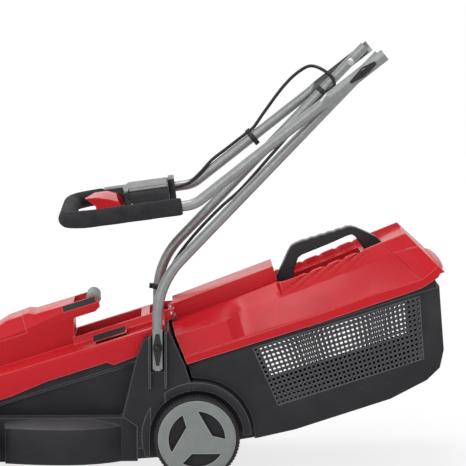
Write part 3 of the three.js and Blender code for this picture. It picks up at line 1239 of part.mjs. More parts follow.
for (const { name, x, z, tilt, seatY, headY } of clampSites) {
  for (const [side, sign] of sides) {
    const site = new THREE.Group();
    site.position.set(x, 0, z);
    site.rotation.y = radians(tilt);
    mower.add(site);
    const facing = new THREE.Matrix4().makeScale(1, sign, 1);
    const faced = (solid) => (sign < 0 ? moved(solid, facing) : solid);
    add(`${name}_bolt_${side}`, faced(clampBolt(headY, seatY)), steel, site);
    add(`${name}_saddle_${side}`, faced(saddle(seatY)), blackPlastic, site);
    add(`${name}_lever_${side}`, faced(clampLever(seatY)), blackPlastic, site);
  }
}

// ---------------------------------------------------------------- switch box (grip frame)

const grip = new THREE.Group();
grip.position.copy(upperBend);
grip.rotation.y = -radians(GRIP_ANGLE);
mower.add(grip);

const panelFoot = BOX_HALF_HEIGHT - PANEL_THICKNESS;
const earOuterY = BOX_INNER_Y + SWITCH_EAR_WIDTH;
const buttonAt = [SWITCH_PIVOT_X + 4, -9.5];

function switchHousing() {
  const outline = [
    [BOX_REAR_X, BOX_INNER_Y], [BOX_REAR_X, BOX_OUTER_Y], [BOX_ARM_FRONT_X, BOX_OUTER_Y],
    [BOX_ARM_FRONT_X, BOX_ARM_INNER_Y], [BOX_FRONT_X, BOX_ARM_INNER_Y], [BOX_FRONT_X, BOX_INNER_Y],
  ];
  const top = panelFoot - GAP;
  const shell = upZ(outline, -BOX_HALF_HEIGHT, top);
  const hollow = block([BOX_FRONT_X + BOX_WALL, BOX_REAR_X - BOX_WALL],
    [BOX_INNER_Y + BOX_WALL, UPPER_TUBE_Y - TUBE_RADIUS - 4], [BOX_WALL - BOX_HALF_HEIGHT, top + 1]);
  const bore = bar(
    clearBore(TUBE_RADIUS, TUBE_SIDES), [-400, UPPER_TUBE_Y, 0], [100, UPPER_TUBE_Y, 0], TUBE_SIDES);
  const ear = block([SWITCH_PIVOT_X - 10, BOX_FRONT_X + 1], [BOX_INNER_Y, earOuterY], [-15, top]);
  const pivot = barY(SWITCH_PIVOT_RADIUS + RUN, SWITCH_PIVOT_X, SWITCH_PIVOT_Z,
    BOX_INNER_Y - 5, BOX_ARM_INNER_Y + 5, 12);
  const buttonHole = barY(BUTTON_RADIUS + RUN, ...buttonAt, BOX_INNER_Y - 5, earOuterY + 1, 12);
  return cut(join(cut(shell, hollow), ear), bore, pivot, buttonHole);
}

function switchPanel() {
  return upZ([
    [BOX_REAR_X, BOX_INNER_Y], [BOX_REAR_X, BOX_OUTER_Y], [BOX_ARM_FRONT_X, BOX_OUTER_Y],
    [BOX_ARM_FRONT_X, BOX_OUTER_Y - 12], [BOX_FRONT_X - 15, BOX_INNER_Y],
  ], panelFoot, BOX_HALF_HEIGHT + 1);
}

function switchClamp() {
  const from = BOX_REAR_X + GAP;
  const outer = block([from, from + 12], [BOX_INNER_Y + 90, BOX_OUTER_Y + 2],
    [-BOX_HALF_HEIGHT - 4, BOX_HALF_HEIGHT + 3]);
  const bore = bar(
    clearBore(TUBE_RADIUS, TUBE_SIDES), [-400, UPPER_TUBE_Y, 0], [100, UPPER_TUBE_Y, 0], TUBE_SIDES);
  const cableY = UPPER_TUBE_Y - CABLE_OFFSET - 1.5;
  const cableHole = bar(CABLE_RADIUS + 1, [-400, cableY, 0], [100, cableY, 0], 10);
  return cut(outer, bore, cableHole);
}

function switchLever() {
  const paddle = acrossY([
    [-215, 8], [-188, 19], [-168, 19], [-160, 14], [-139, 12], [-139, -14.6], [-191, -14.6],
  ], SWITCH_LEVER_NEAR_Y, BOX_ARM_INNER_Y - 8);
  const hollow = acrossY([
    [-207, 7], [-187, 16], [-169, 16], [-161.5, 11], [-142, 9.5], [-142, -30], [-187.5, -30], [-187.5, -12],
  ], SWITCH_LEVER_NEAR_Y + 2.5, BOX_ARM_INNER_Y - 10.5);
  const rootInnerY = earOuterY + 13;
  const root = acrossY([
    [-140, 12], [SWITCH_PIVOT_X + 7, 12], [SWITCH_PIVOT_X + 7, -4], [-140, -13],
  ], rootInnerY, BOX_ARM_INNER_Y - GAP);
  const trunnions = barY(SWITCH_PIVOT_RADIUS, SWITCH_PIVOT_X, SWITCH_PIVOT_Z,
    BOX_INNER_Y + 1, BOX_ARM_INNER_Y + 4, 12);
  return join(cut(paddle, hollow), root, trunnions);
}

add('switch_housing', switchHousing(), blackPlastic, grip);
add('switch_panel', switchPanel(), greyPlastic, grip);
add('switch_clamp', switchClamp(), blackPlastic, grip);
add('switch_lever', switchLever(), redPlastic, grip);
add('lock_off_button', join(
  barY(BUTTON_RADIUS, ...buttonAt, BOX_INNER_Y - 5, earOuterY - 1, 12),
  barY(BUTTON_RADIUS - 1.5, ...buttonAt, BOX_INNER_Y - 6.5, BOX_INNER_Y - 4, 12)), creamPlastic, grip);
add('micro_switch', block([BOX_FRONT_X + BOX_WALL + GAP, BOX_FRONT_X + 24], [60, 70],
  [BOX_WALL - BOX_HALF_HEIGHT + GAP, 2]), darkGreyPlastic, grip);

// ---------------------------------------------------------------- cable and clips

const tubeUp = new THREE.Vector3(-upperAlong.z, 0, upperAlong.x);
const clipLength = 10;
const upperClipAt = upperBend.clone().addScaledVector(upperAlong, 155).setY(UPPER_TUBE_Y);
const pivotClipAt = lowerBend.clone().addScaledVector(pivotOffset, 478).setY(LOWER_TUBE_Y);
const lowerClipTurn = 4.8;          // degrees into the bend of the lower tube
const bendStartZ = LOWER_BEND_Z - LOWER_BEND_RADIUS * Math.tan(radians(90 - LOWER_ANGLE) / 2);
const lowerClipAt = new THREE.Vector3(
  LOWER_TUBE_X + LOWER_BEND_RADIUS * (1 - Math.cos(radians(lowerClipTurn))), LOWER_TUBE_Y,
  bendStartZ + LOWER_BEND_RADIUS * Math.sin(radians(lowerClipTurn)));

// A clip round a tube that lies along X, its cable eye on the +Z side.
function cableClip(extra) {
  const half = clipLength / 2;
  const tubeBand = bar(TUBE_RADIUS + 3, [-half, 0, 0], [half, 0, 0], 16);
  const cableBand = bar(CABLE_RADIUS + 2.2, [-half, 0, CABLE_OFFSET], [half, 0, CABLE_OFFSET], 10);
  const tubeBore = bar(clearBore(TUBE_RADIUS, TUBE_SIDES), [-half - 1, 0, 0], [half + 1, 0, 0], 16);
  const cableBore = bar(CABLE_RADIUS + 0.6, [-half - 1, 0, CABLE_OFFSET], [half + 1, 0, CABLE_OFFSET], 10);
  return cut(extra(join(tubeBand, cableBand)), tubeBore, cableBore);
}

const withEar = (clip) => clip.add(block([-clipLength / 2, clipLength / 2], [-3, 3],
  [-TUBE_RADIUS - 8, -TUBE_RADIUS - 1]));

function addClip(name, place, along, towardsCable, extra) {
  const basis = new THREE.Matrix4().makeBasis(along, towardsCable.clone().cross(along), towardsCable);
  const mesh = add(name, cableClip(extra), blackPlastic);
  mesh.quaternion.setFromRotationMatrix(basis);
  mesh.position.copy(place);
}

// The clip at the fold is open on its outer side, where the pressed end of the upper tube passes.
const openOutside = (clip) => clip.subtract(moved(
  block([-50, 50], [-50, 50], [5.5, 60]), new THREE.Matrix4().makeRotationX(radians(135))));

const lowerTurn = radians(lowerClipTurn);
const insideAndUnder = new THREE.Vector3(pivotOffset.z, -1, -pivotOffset.x).normalize();
addClip('cable_clip_upper', upperClipAt, upperAlong, tubeUp, withEar);
addClip('cable_clip_pivot', pivotClipAt, pivotOffset, insideAndUnder, openOutside);
addClip('cable_clip_lower', lowerClipAt, new THREE.Vector3(Math.sin(lowerTurn), 0, Math.cos(lowerTurn)),
  new THREE.Vector3(Math.cos(lowerTurn), 0, -Math.sin(lowerTurn)), withEar);

add('cable_upper', cordAlong([
  [-50, 157.7, 524.9], [-36.7, 157.7, 526.7], [-10, 158, 536], [12, 162, 555], [36, 172, 580],
  [67, 173, 604], [103.9, 173, 632.8], [113.3, 173, 640.2],
], 16), blackPlastic);
add('cable_loop', cordAlong([
  [113.8, 173, 640.5], [119.6, 173, 645.1], [142, 172, 677], [183, 168, 732], [210, 165, 758],
  [234, 156, 771], [260, 141, 763], [279, 137, 745], [281, 138, 733], [274, 143.5, 724.8],
  [266.8, 145.2, 717.5],
], 24), blackPlastic);
add('cable_lower', cordAlong([
  [266.4, 145.2, 717], [258.3, 145.2, 708.5], [207, 143, 652], [150, 142, 587], [92, 142, 522],
  [54, 142, 488], [5, 143, 437], [-30, 146, 393], [-51, 152, 356], [-59, 155, 332], [-59.7, 155, 323.9],
  [-60.4, 155, 316], [-60.5, 151, 309], [-64, 143, 305.5], [-72, 133, 303], [-78, 128.5, 298],
  [-80, 128, 287],
], 44), blackPlastic);

// ---------------------------------------------------------------- origin

mower.updateMatrixWorld(true);
const box = new THREE.Box3().setFromObject(mower, true);
mower.position.set(-(box.min.x + box.max.x) / 2, -(box.min.y + box.max.y) / 2, -box.min.z);

export default mower;
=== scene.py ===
from math import acos, cos, pi, radians, sin, tan

import bmesh
import bpy
import numpy as np
from bpy.props import FloatProperty, IntProperty, PointerProperty, StringProperty
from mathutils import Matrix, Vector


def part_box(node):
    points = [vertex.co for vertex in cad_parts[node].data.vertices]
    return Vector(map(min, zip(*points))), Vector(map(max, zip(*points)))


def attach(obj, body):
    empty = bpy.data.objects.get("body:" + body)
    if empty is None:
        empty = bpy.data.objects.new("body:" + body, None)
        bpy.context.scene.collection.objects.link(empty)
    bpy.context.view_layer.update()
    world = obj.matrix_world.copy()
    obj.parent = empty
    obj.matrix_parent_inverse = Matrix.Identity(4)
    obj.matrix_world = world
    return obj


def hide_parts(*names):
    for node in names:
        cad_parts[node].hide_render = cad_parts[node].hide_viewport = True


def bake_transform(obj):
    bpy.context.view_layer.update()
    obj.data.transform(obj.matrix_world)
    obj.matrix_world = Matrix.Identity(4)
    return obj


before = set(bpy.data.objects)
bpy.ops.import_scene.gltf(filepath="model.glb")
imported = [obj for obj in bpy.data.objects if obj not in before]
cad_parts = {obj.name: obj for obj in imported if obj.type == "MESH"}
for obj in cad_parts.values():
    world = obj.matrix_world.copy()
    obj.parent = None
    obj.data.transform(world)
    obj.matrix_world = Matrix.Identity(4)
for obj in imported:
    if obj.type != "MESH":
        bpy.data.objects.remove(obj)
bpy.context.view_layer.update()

bl_info = {
    "name": "Push lawn mower finish",
    "version": (1, 0, 0),
    "blender": (4, 5, 0),
    "location": "View3D > Sidebar > Mower",
    "description": "Finished surfaces and materials around the packed lawn mower",
    "category": "Add Mesh",
}

# ------------------------------------------------------------------ places of the frame

# Lengths are millimetres in the axle frame: X = 0 at the rear axle, Z = 0 on the ground.
MM = 0.001
AXLE_X = sum(corner.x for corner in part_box("axle_rear")) / 2 / MM
RAKE = radians(17.2)                # slope of the hood, the flap and the catcher
SIDES = (("left", -1), ("right", 1))

TUBE_RADIUS, TUBE_WALL = 10.0, 1.4
LOWER_Y, UPPER_Y = 155.0, 173.0     # |y| of the tubes' centre lines
LOWER_LENGTH, UPPER_LENGTH, GRIP_LENGTH = 560.0, 403.0, 244.0
LOWER_OVERRUN, UPPER_OVERRUN = 42.0, 50.0       # what the tubes reach past the fold
LOWER_BEND_RADIUS, UPPER_BEND_RADIUS, GRIP_CORNER_RADIUS = 160, 60, 58
Y_AXIS = np.array([0.0, 1, 0])
Z_AXIS = np.array([0.0, 0, 1])


def heading(degrees):
    """Unit direction (cos, 0, sin) of an angle above X."""
    return np.array([cos(radians(degrees)), 0, sin(radians(degrees))])


FOOT = np.array([-74.0, 0, 212.0])
LOWER_BEND = np.array([-74.0, 0, 376.0])
LOWER_DIRECTION, UPPER_DIRECTION, GRIP_DIRECTION = heading(46.2), heading(38.2), heading(7.6)
GRIP_ACROSS = np.array([-GRIP_DIRECTION[2], 0, GRIP_DIRECTION[0]])
FOLD = LOWER_BEND + LOWER_LENGTH * LOWER_DIRECTION
UPPER_BEND = FOLD - UPPER_LENGTH * UPPER_DIRECTION
GRIP_BAR = UPPER_BEND - GRIP_LENGTH * GRIP_DIRECTION


def row_frame(points):
    """Axle frame in millimetres to the row frame in metres: X is moved by the rear axle's place."""
    return (np.asarray(points, float) + (AXLE_X, 0, 0)) * MM


def from_raked(points):
    """Points (u, y, v) turned by the rake about Y: x = u cos - v sin, z = u sin + v cos."""
    u, y, v = np.moveaxis(np.asarray(points, float), -1, 0)
    return np.stack([u * cos(RAKE) - v * sin(RAKE), y, u * sin(RAKE) + v * cos(RAKE)], -1)


def from_grip(points):
    """Points (x, y, z) of the grip's frame: x runs along the grip from its bend, z square to it."""
    x, y, z = np.moveaxis(np.asarray(points, float), -1, 0)
    place = UPPER_BEND + x[..., None] * GRIP_DIRECTION + z[..., None] * GRIP_ACROSS
    return place + y[..., None] * Y_AXIS


# ------------------------------------------------------------------ surfaces

def smoothstep(value, low, high):
    """3t^2 - 2t^3 of the value's share t of the way from low to high."""
    share = np.clip((np.asarray(value, float) - low) / (high - low), 0, 1)
    return share * share * (3 - 2 * share)


def grid_faces(rows, columns, wrap_rows=False, wrap_columns=True):
    """Quads of a grid of points kept row by row, joined across the ends where it wraps."""
    i, j = np.meshgrid(np.arange(rows - (not wrap_rows)), np.arange(columns - (not wrap_columns)),
                       indexing="ij")
    here, there = i * columns, (i + 1) % rows * columns
    after = (j + 1) % columns
    return np.stack([here + j, here + after, there + after, there + j], -1).reshape(-1, 4).tolist()


def circle(radius, count, start=0.0):
    """Points radius * (cos t, sin t) at equal steps of t."""
    angle = start + 2 * pi * np.arange(count) / count
    return radius * np.stack([np.cos(angle), np.sin(angle)], -1)


def rounded(corners, radii, step=4.0):
    """Route through the corners, each rounded by an arc of its radius: centre + cos * a + sin * b."""
    corners = np.asarray(corners, float)
    route = [corners[:1]]
    for before, corner, after, radius in zip(corners, corners[1:], corners[2:], radii):
        into = (corner - before) / np.linalg.norm(corner - before)
        out = (after - corner) / np.linalg.norm(after - corner)
        turn = acos(np.clip(into @ out, -1, 1))
        inward = (out - into) / np.linalg.norm(out - into)
        centre = corner + inward * radius / cos(turn / 2)
        start = corner - into * radius * tan(turn / 2) - centre
        angle = np.linspace(0, turn, max(2, int(round(turn * 180 / pi / step))) + 1)[:, None]
        route.append(centre + start * np.cos(angle) + into * radius * np.sin(angle))
    route.append(corners[-1:])
    return np.concatenate(route)


def spaced(route, step):
    """The same route with points no further apart than step, by linear interpolation of its length."""
    lengths = np.concatenate([[0], np.cumsum(np.linalg.norm(np.diff(route, axis=0), axis=1))])
    extra = np.arange(step, lengths[-1], step)
    at = np.unique(np.round(np.concatenate([lengths, extra]), 3))
    return np.stack([np.interp(at, lengths, route[:, k]) for k in range(3)], -1)


def between(t, low, high, first, second):
    """Straight blend from first at t = low to second at t = high."""
    return (high - t) / (high - low) * first + (t - low) / (high - low) * second


def flowing(points, per_span):
    """Centripetal Catmull-Rom curve through the points, by Barry and Goldman's three blends."""
    points = np.asarray(points, float)
    points = np.concatenate([[2 * points[0] - points[1]], points, [2 * points[-1] - points[-2]]])
    spans = []
    for p in (points[i:i + 4] for i in range(len(points) - 3)):
        knot = np.concatenate([[0], np.cumsum(np.sqrt(np.linalg.norm(np.diff(p, axis=0), axis=1)))])
        t = np.linspace(knot[1], knot[2], per_span, endpoint=False)[:, None]
        first = [between(t, knot[k], knot[k + 1], p[k], p[k + 1]) for k in range(3)]
        second = [between(t, knot[k], knot[k + 2], first[k], first[k + 1]) for k in range(2)]
        spans.append(between(t, knot[1], knot[2], second[0], second[1]))
    return np.concatenate([*spans, points[-2:-1]])


def carried(route, section, upward):
    """Profile (a, b) carried along a route: route + a * up + b * out, up square to the route nearest
    to upward, out = up x tangent. The section may be one profile or one for each point."""
    steps = np.diff(route, axis=0)
    steps /= np.linalg.norm(steps, axis=1)[:, None]
    tangent = np.concatenate([steps[:1], steps[1:] + steps[:-1], steps[-1:]])
    tangent /= np.linalg.norm(tangent, axis=1)[:, None]
    up = upward - tangent * (tangent @ np.asarray(upward, float))[:, None]
    up /= np.linalg.norm(up, axis=1)[:, None]
    out = np.cross(up, tangent)
    section = np.broadcast_to(section, (len(route),) + np.shape(section)[-2:])
    return route[:, None] + section[..., :1] * up[:, None] + section[..., 1:] * out[:, None]


def turned(profile, count):
    """Profile (radius, height) turned about the third axis: (r cos t, r sin t, h)."""
    profile = np.asarray(profile, float)
    ring = circle(1, count)
    flat = profile[:, None, :1] * ring[None]
    return np.concatenate([flat, np.broadcast_to(profile[:, None, 1:], flat.shape[:2] + (1,))], -1)


def softened(outline, radius, steps=3):
    """Closed outline with each corner cut back by up to radius and drawn as a quadratic curve."""
    ring = np.asarray(outline, float)
    before, after = np.roll(ring, 1, 0) - ring, np.roll(ring, -1, 0) - ring
    reach = [np.minimum(radius, 0.45 * np.linalg.norm(d, axis=1)) / np.linalg.norm(d, axis=1)
             for d in (before, after)]
    start, end = ring + before * reach[0][:, None], ring + after * reach[1][:, None]
    t = np.linspace(0, 1, steps + 1)[:, None, None]
    curve = (1 - t) ** 2 * start + 2 * t * (1 - t) * ring + t ** 2 * end
    return np.swapaxes(curve, 0, 1).reshape(-1, ring.shape[1])


# ------------------------------------------------------------------ making pieces

def round_edges(piece, width, sharp, segments):
    """Bevel of a width in millimetres along the edges sharper than an angle in degrees."""
    rounding = piece.modifiers.new("Rounded edges", "BEVEL")
    rounding.width = width * MM
    rounding.segments = segments
    rounding.limit_method = "ANGLE"
    rounding.angle_limit = radians(sharp)
    rounding.harden_normals = True


def thicken(piece, thickness, offset=-1):
    """Wall in millimetres, inwards from the surface, or to both sides with offset 0."""
    wall = piece.modifiers.new("Wall", "SOLIDIFY")
    wall.thickness = thickness * MM
    wall.offset = offset


def finished(piece, look, body, replaces=(), bevel=0.0, sharp=30, segments=3):
    """Gives a piece its finish and body, hides the nodes it stands for, and rounds its edges."""
    piece.data.materials.append(LOOKS[look])
    if bevel:
        round_edges(piece, bevel, sharp, segments)
    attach(piece, body)
    if replaces:
        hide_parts(*replaces)


def surface(name, points, faces, sharp=30):
    """A mesh object of points in the axle frame, doubles merged, facing out, smooth up to sharp."""
    points = np.asarray(points, float).reshape(-1, 3)
    mesh = bpy.data.meshes.new(name)
    mesh.from_pydata(row_frame(points).tolist(), [], faces)
    mesh.polygons.foreach_set("use_smooth", np.ones(len(mesh.polygons), bool))
    work = bmesh.new()
    work.from_mesh(mesh)
    bmesh.ops.remove_doubles(work, verts=work.verts, dist=0.01 * MM)
    bmesh.ops.recalc_face_normals(work, faces=work.faces)
    work.to_mesh(mesh)
    work.free()
    mesh.set_sharp_from_angle(angle=radians(sharp))
    piece = bpy.data.objects.new(name, mesh)
    bpy.context.scene.collection.objects.link(piece)
    return piece


def capped(rows, columns):
    """Faces of a skin that wraps round its columns, with a flat face on each end."""
    last = (rows - 1) * columns
    return grid_faces(rows, columns) + [list(range(columns))[::-1], list(range(last, last + columns))]


def prism(name, outline, near, far, place=from_raked, sharp=30):
    """Outline (u, v) drawn across Y from near to far."""
    outline = np.asarray(outline, float)
    rings = [np.stack([outline[:, 0], np.full(len(outline), y), outline[:, 1]], -1) for y in (near, far)]
    return surface(name, place(np.stack(rings)), capped(2, len(outline)), sharp)


def bar_skin(name, route, section, upward, sharp=40):
    """A solid bar: the section carried along the route, with flat ends."""
    skin = carried(route, section, upward)
    return surface(name, skin, capped(*skin.shape[:2]), sharp)


def pipe_skin(name, outer, inner, sharp=50):
    """A pipe: its outer rings from end to end and its inner rings back, joined at both ends."""
    skin = np.concatenate([outer, inner[::-1]])
    return surface(name, skin, grid_faces(*skin.shape[:2], wrap_rows=True), sharp)


# ------------------------------------------------------------------ materials

def linear(code):
    """sRGB hex colour to linear RGBA, by the sRGB curve."""
    channels = np.array([int(code[i:i + 2], 16) for i in (1, 3, 5)]) / 255
    low = channels <= 0.04045
    return (*np.where(low, channels / 12.92, ((channels + 0.055) / 1.055) ** 2.4), 1.0)


def add_node(tree, kind, settings=None, values=None, links=None):
    """Adds one node, with its own settings, its sockets' constants and the sockets that feed it."""
    node = tree.nodes.new(kind)
    for key, value in (settings or {}).items():
        setattr(node, key, value)
    for key, value in (values or {}).items():
        node.inputs[key].default_value = value
    for key, value in (links or {}).items():
        tree.links.new(value, node.inputs[key])
    return node


def per_mm(size):
    """Noise scale that gives features of about this size in millimetres."""
    return 1 / (size * MM)


def blended(tree, factor, first, second):
    """Mix of two hex colours by a factor socket, as a colour socket."""
    node = add_node(tree, "ShaderNodeMix", {"data_type": "RGBA"}, links={0: factor})
    node.inputs[6].default_value = linear(first)
    node.inputs[7].default_value = linear(second)
    return node.outputs[2]


def toned(tree, factor, tint, colour):
    """Mix from a colour socket to a hex colour by a factor socket, as a colour socket."""
    node = add_node(tree, "ShaderNodeMix", {"data_type": "RGBA"}, links={0: factor, 6: tint})
    node.inputs[7].default_value = linear(colour)
    return node.outputs[2]


def painted_edge_highlight(tree, tint, colour):
    """Painted highlight: tint that turns to a lighter colour along edges and creases, standing in for the
    light they catch, where a normal averaged over a small radius leaves the surface's own: up to 70% as
    averaged . own falls from 0.985 to 0.88."""
    averaged = add_node(tree, "ShaderNodeBevel", {"samples": 6}, {"Radius": 2.6 * MM})
    own = add_node(tree, "ShaderNodeNewGeometry")
    dot = add_node(tree, "ShaderNodeVectorMath", {"operation": "DOT_PRODUCT"},
                   links={0: averaged.outputs[0], 1: own.outputs["Normal"]})
    share = add_node(tree, "ShaderNodeMapRange", {"clamp": True},
                     {"From Min": 0.985, "From Max": 0.88, "To Max": 0.7}, {"Value": dot.outputs["Value"]})
    return toned(tree, share.outputs[0], tint, colour)


def painted_top_sheen(tree, tint, colour):
    """Painted sheen: tint that turns paler, up to 85%, where the surface faces up, standing in for the sky's
    reflection: its normal's height, 0.42 to 1.
    """
    normal = add_node(tree, "ShaderNodeTexCoord").outputs["Normal"]
    height = add_node(tree, "ShaderNodeSeparateXYZ", links={0: normal}).outputs["Z"]
    share = add_node(tree, "ShaderNodeMapRange", {"clamp": True},
                     {"From Min": 0.42, "From Max": 1.0, "To Max": 0.85}, {"Value": height})
    return toned(tree, share.outputs[0], tint, colour)


def moulded(name, colour, shade, rough, rough_spread, grain_mm, grain_depth, mottle_mm=35.0,
            metallic=0.0, shine=0.5, stretch=(1, 1, 1), scuff=None, edge=None, painted_sheen=None):
    """A finish with mottled colour and roughness and a fine surface grain.
    The colour runs from colour to shade with a noise of mottle_mm, roughness by rough_spread, and the
    grain is a bump of grain_depth millimetres. scuff is the colour of rare fine rubs; edge is that of a
    highlight painted along the edges, and the last argument that of a sheen painted on the faces turned up,
    for the sky's reflection."""
    material = bpy.data.materials.new(name)
    material.use_nodes = True
    tree = material.node_tree
    shader = tree.nodes["Principled BSDF"]
    place = add_node(tree, "ShaderNodeTexCoord").outputs["Object"]
    place = add_node(tree, "ShaderNodeMapping", values={"Scale": stretch}, links={"Vector": place}).outputs[0]
    mottle = add_node(tree, "ShaderNodeTexNoise", values={"Scale": per_mm(mottle_mm), "Detail": 3.0},
                      links={"Vector": place}).outputs["Fac"]
    share = add_node(tree, "ShaderNodeMapRange", {"clamp": True},
                     {"From Min": 0.3, "From Max": 0.7}, {"Value": mottle})
    tint = blended(tree, share.outputs[0], colour, shade)
    grain = add_node(tree, "ShaderNodeTexNoise", values={"Scale": per_mm(grain_mm), "Detail": 2.0},
                     links={"Vector": place}).outputs["Fac"]
    if scuff:
        streak = add_node(tree, "ShaderNodeMapping", values={"Scale": (0.35, 1, 1.6)},
                          links={"Vector": place})
        rub = add_node(tree, "ShaderNodeTexNoise", values={"Scale": per_mm(9.0), "Detail": 5.0},
                       links={"Vector": streak.outputs[0]}).outputs["Fac"]
        rare = add_node(tree, "ShaderNodeMapRange", {"clamp": True},
                        {"From Min": 0.66, "From Max": 0.8, "To Max": 0.5}, {"Value": rub})
        tint = toned(tree, rare.outputs[0], tint, scuff)
    # A sheen painted on the faces turned up, standing in for the sky's reflection.
    if painted_sheen:
        tint = painted_top_sheen(tree, tint, painted_sheen)
    # A highlight painted along edges and creases, in the edge colour.
    if edge:
        tint = painted_edge_highlight(tree, tint, edge)
    tree.links.new(tint, shader.inputs["Base Color"])
    polish = add_node(tree, "ShaderNodeMapRange", values={
        "From Min": 0.3, "From Max": 0.7, "To Min": rough - rough_spread, "To Max": rough + rough_spread},
        links={"Value": mottle})
    tree.links.new(polish.outputs[0], shader.inputs["Roughness"])
    bump = add_node(tree, "ShaderNodeBump", values={"Strength": 0.6, "Distance": grain_depth * MM},
                    links={"Height": grain})
    tree.links.new(bump.outputs[0], shader.inputs["Normal"])
    shader.inputs["Metallic"].default_value = metallic
    shader.inputs["Specular IOR Level"].default_value = shine
    return material


LOOKS = {}


def make_looks(look):
    """Makes every finish once."""
    # Glossy moulded ABS: saturated red with a soft sheen; the polished mould leaves a faint ripple. Its edge
    # colour is a highlight painted along edges and creases.
    LOOKS["red"] = moulded("Red gloss moulded ABS", look.red, look.red_shade, 0.28, 0.03, 2.2, 0.01, 60.0,
                           shine=0.14, edge="#e8766c")
    # Spark-eroded polypropylene: a warm charcoal with a fine dull grain and rare light scuffs; a highlight is
    # painted along its edges and a paler sheen painted on the faces turned up.
    LOOKS["charcoal"] = moulded("Charcoal grained polypropylene", look.charcoal, look.charcoal_shade, 0.5,
                                0.06, 2.4, 0.05, 45.0, shine=0.2, scuff="#3b3a3c", edge="#7a787c",
                                painted_sheen="#535156")
    # The same resin, moulded smooth: darker, with a tighter sheen.
    LOOKS["black"] = moulded("Black smooth polypropylene", "#1d1c1f", "#242326", 0.38, 0.05, 2.6, 0.02,
                             25.0, shine=0.3)
    # Polished nylon of the clamps: the darkest plastic, with small sharp highlights.
    LOOKS["boss"] = moulded("Black polished nylon", "#0b0b0c", "#111112", 0.22, 0.04, 2.6, 0.01, 12.0,
                            shine=0.45)
    # Mid-grey moulded polypropylene of the hub caps and the carry bar, satin, with a highlight painted along
    # its edges.
    LOOKS["hub"] = moulded("Grey satin polypropylene", look.grey, look.grey_shade, 0.46, 0.05, 2.2, 0.02,
                           30.0, shine=0.25, edge="#b9bfbb")
    # Warmer grey of the switch cover, with a light sheen.
    LOOKS["cover"] = moulded("Warm grey moulded ABS", "#565752", "#4e4f4a", 0.42, 0.05, 2.2, 0.02, 20.0,
                             shine=0.3)
    # Soft-touch pads of the carry handle: bluish dark grey, dull.
    LOOKS["insert"] = moulded("Slate grey soft-touch overmould", "#232627", "#292c2d", 0.6, 0.05, 1.8, 0.06,
                              12.0, shine=0.25)
    # Powder coat on steel tube: silver-grey with fine orange peel and a metallic fleck.
    LOOKS["tube"] = moulded("Silver-grey powder coat", look.tube, look.tube_shade, 0.34, 0.04, 1.6, 0.03,
                            12.0, metallic=0.45, shine=0.4)
    # Closed-cell foam: near black, dead matt, with a visible cell texture.
    LOOKS["foam"] = moulded("Black closed-cell foam", "#2f2e31", "#262528", 0.92, 0.05, 1.5, 0.22, 18.0,
                            shine=0.2)
    # PVC of the cable: black, with a narrow soft highlight along it.
    LOOKS["cable"] = moulded("Black PVC sheath", "#17161a", "#201f23", 0.4, 0.06, 3.0, 0.02, 12.0,
                             shine=0.3)
    # Hard tyre polymer: black, a little dusty, no gloss on the teeth.
    LOOKS["tread"] = moulded("Black hard tyre polymer", "#1c1b1f", "#242327", 0.6, 0.06, 2.0, 0.06, 14.0,
                             shine=0.25)
    # Zinc plating on bolts, axles, rod and spring: a bright metal with cloudy patches.
    LOOKS["zinc"] = moulded("Bright zinc plating", "#b9bcbe", "#a5a9ab", 0.3, 0.08, 1.4, 0.01, 6.0,
                            metallic=1.0)
    # Paint on spring steel, rubbed bare in places by the grass.
    LOOKS["blade"] = moulded("Black painted spring steel", "#3a3b3d", "#2f3032", 0.45, 0.08, 2.0, 0.03,
                             22.0, metallic=0.6, scuff="#8d8f90")
    # Pale acetal of the lock-off button; darker filled nylon of boxes, terminal and switch.
    LOOKS["cream"] = moulded("Cream acetal", "#c9c3b0", "#bdb7a4", 0.4, 0.04, 1.6, 0.01, 6.0)
    LOOKS["board"] = moulded("Dark grey filled nylon", "#3d4143", "#474b4d", 0.55, 0.05, 1.8, 0.04, 15.0,
                             shine=0.3)
    # Matt foil of the blank plate: it stays dark even where it is seen edge on.
    LOOKS["plate"] = moulded("Anthracite printed foil, blank", "#131214", "#19181a", 0.85, 0.03, 1.8, 0.01,
                             10.0, shine=0.3)
    # Rolled steel of the motor can: bright metal with streaks round its axis.
    LOOKS["can"] = moulded("Rolled steel can", "#9ea1a3", "#8d9193", 0.34, 0.08, 1.8, 0.02, 16.0,
                           metallic=1.0, stretch=(1, 1, 8))


# ------------------------------------------------------------------ settings

def colour_property(title, note, code):
    """A colour setting that is kept as a hex code."""
    return StringProperty(name=title, description=note, default=code)


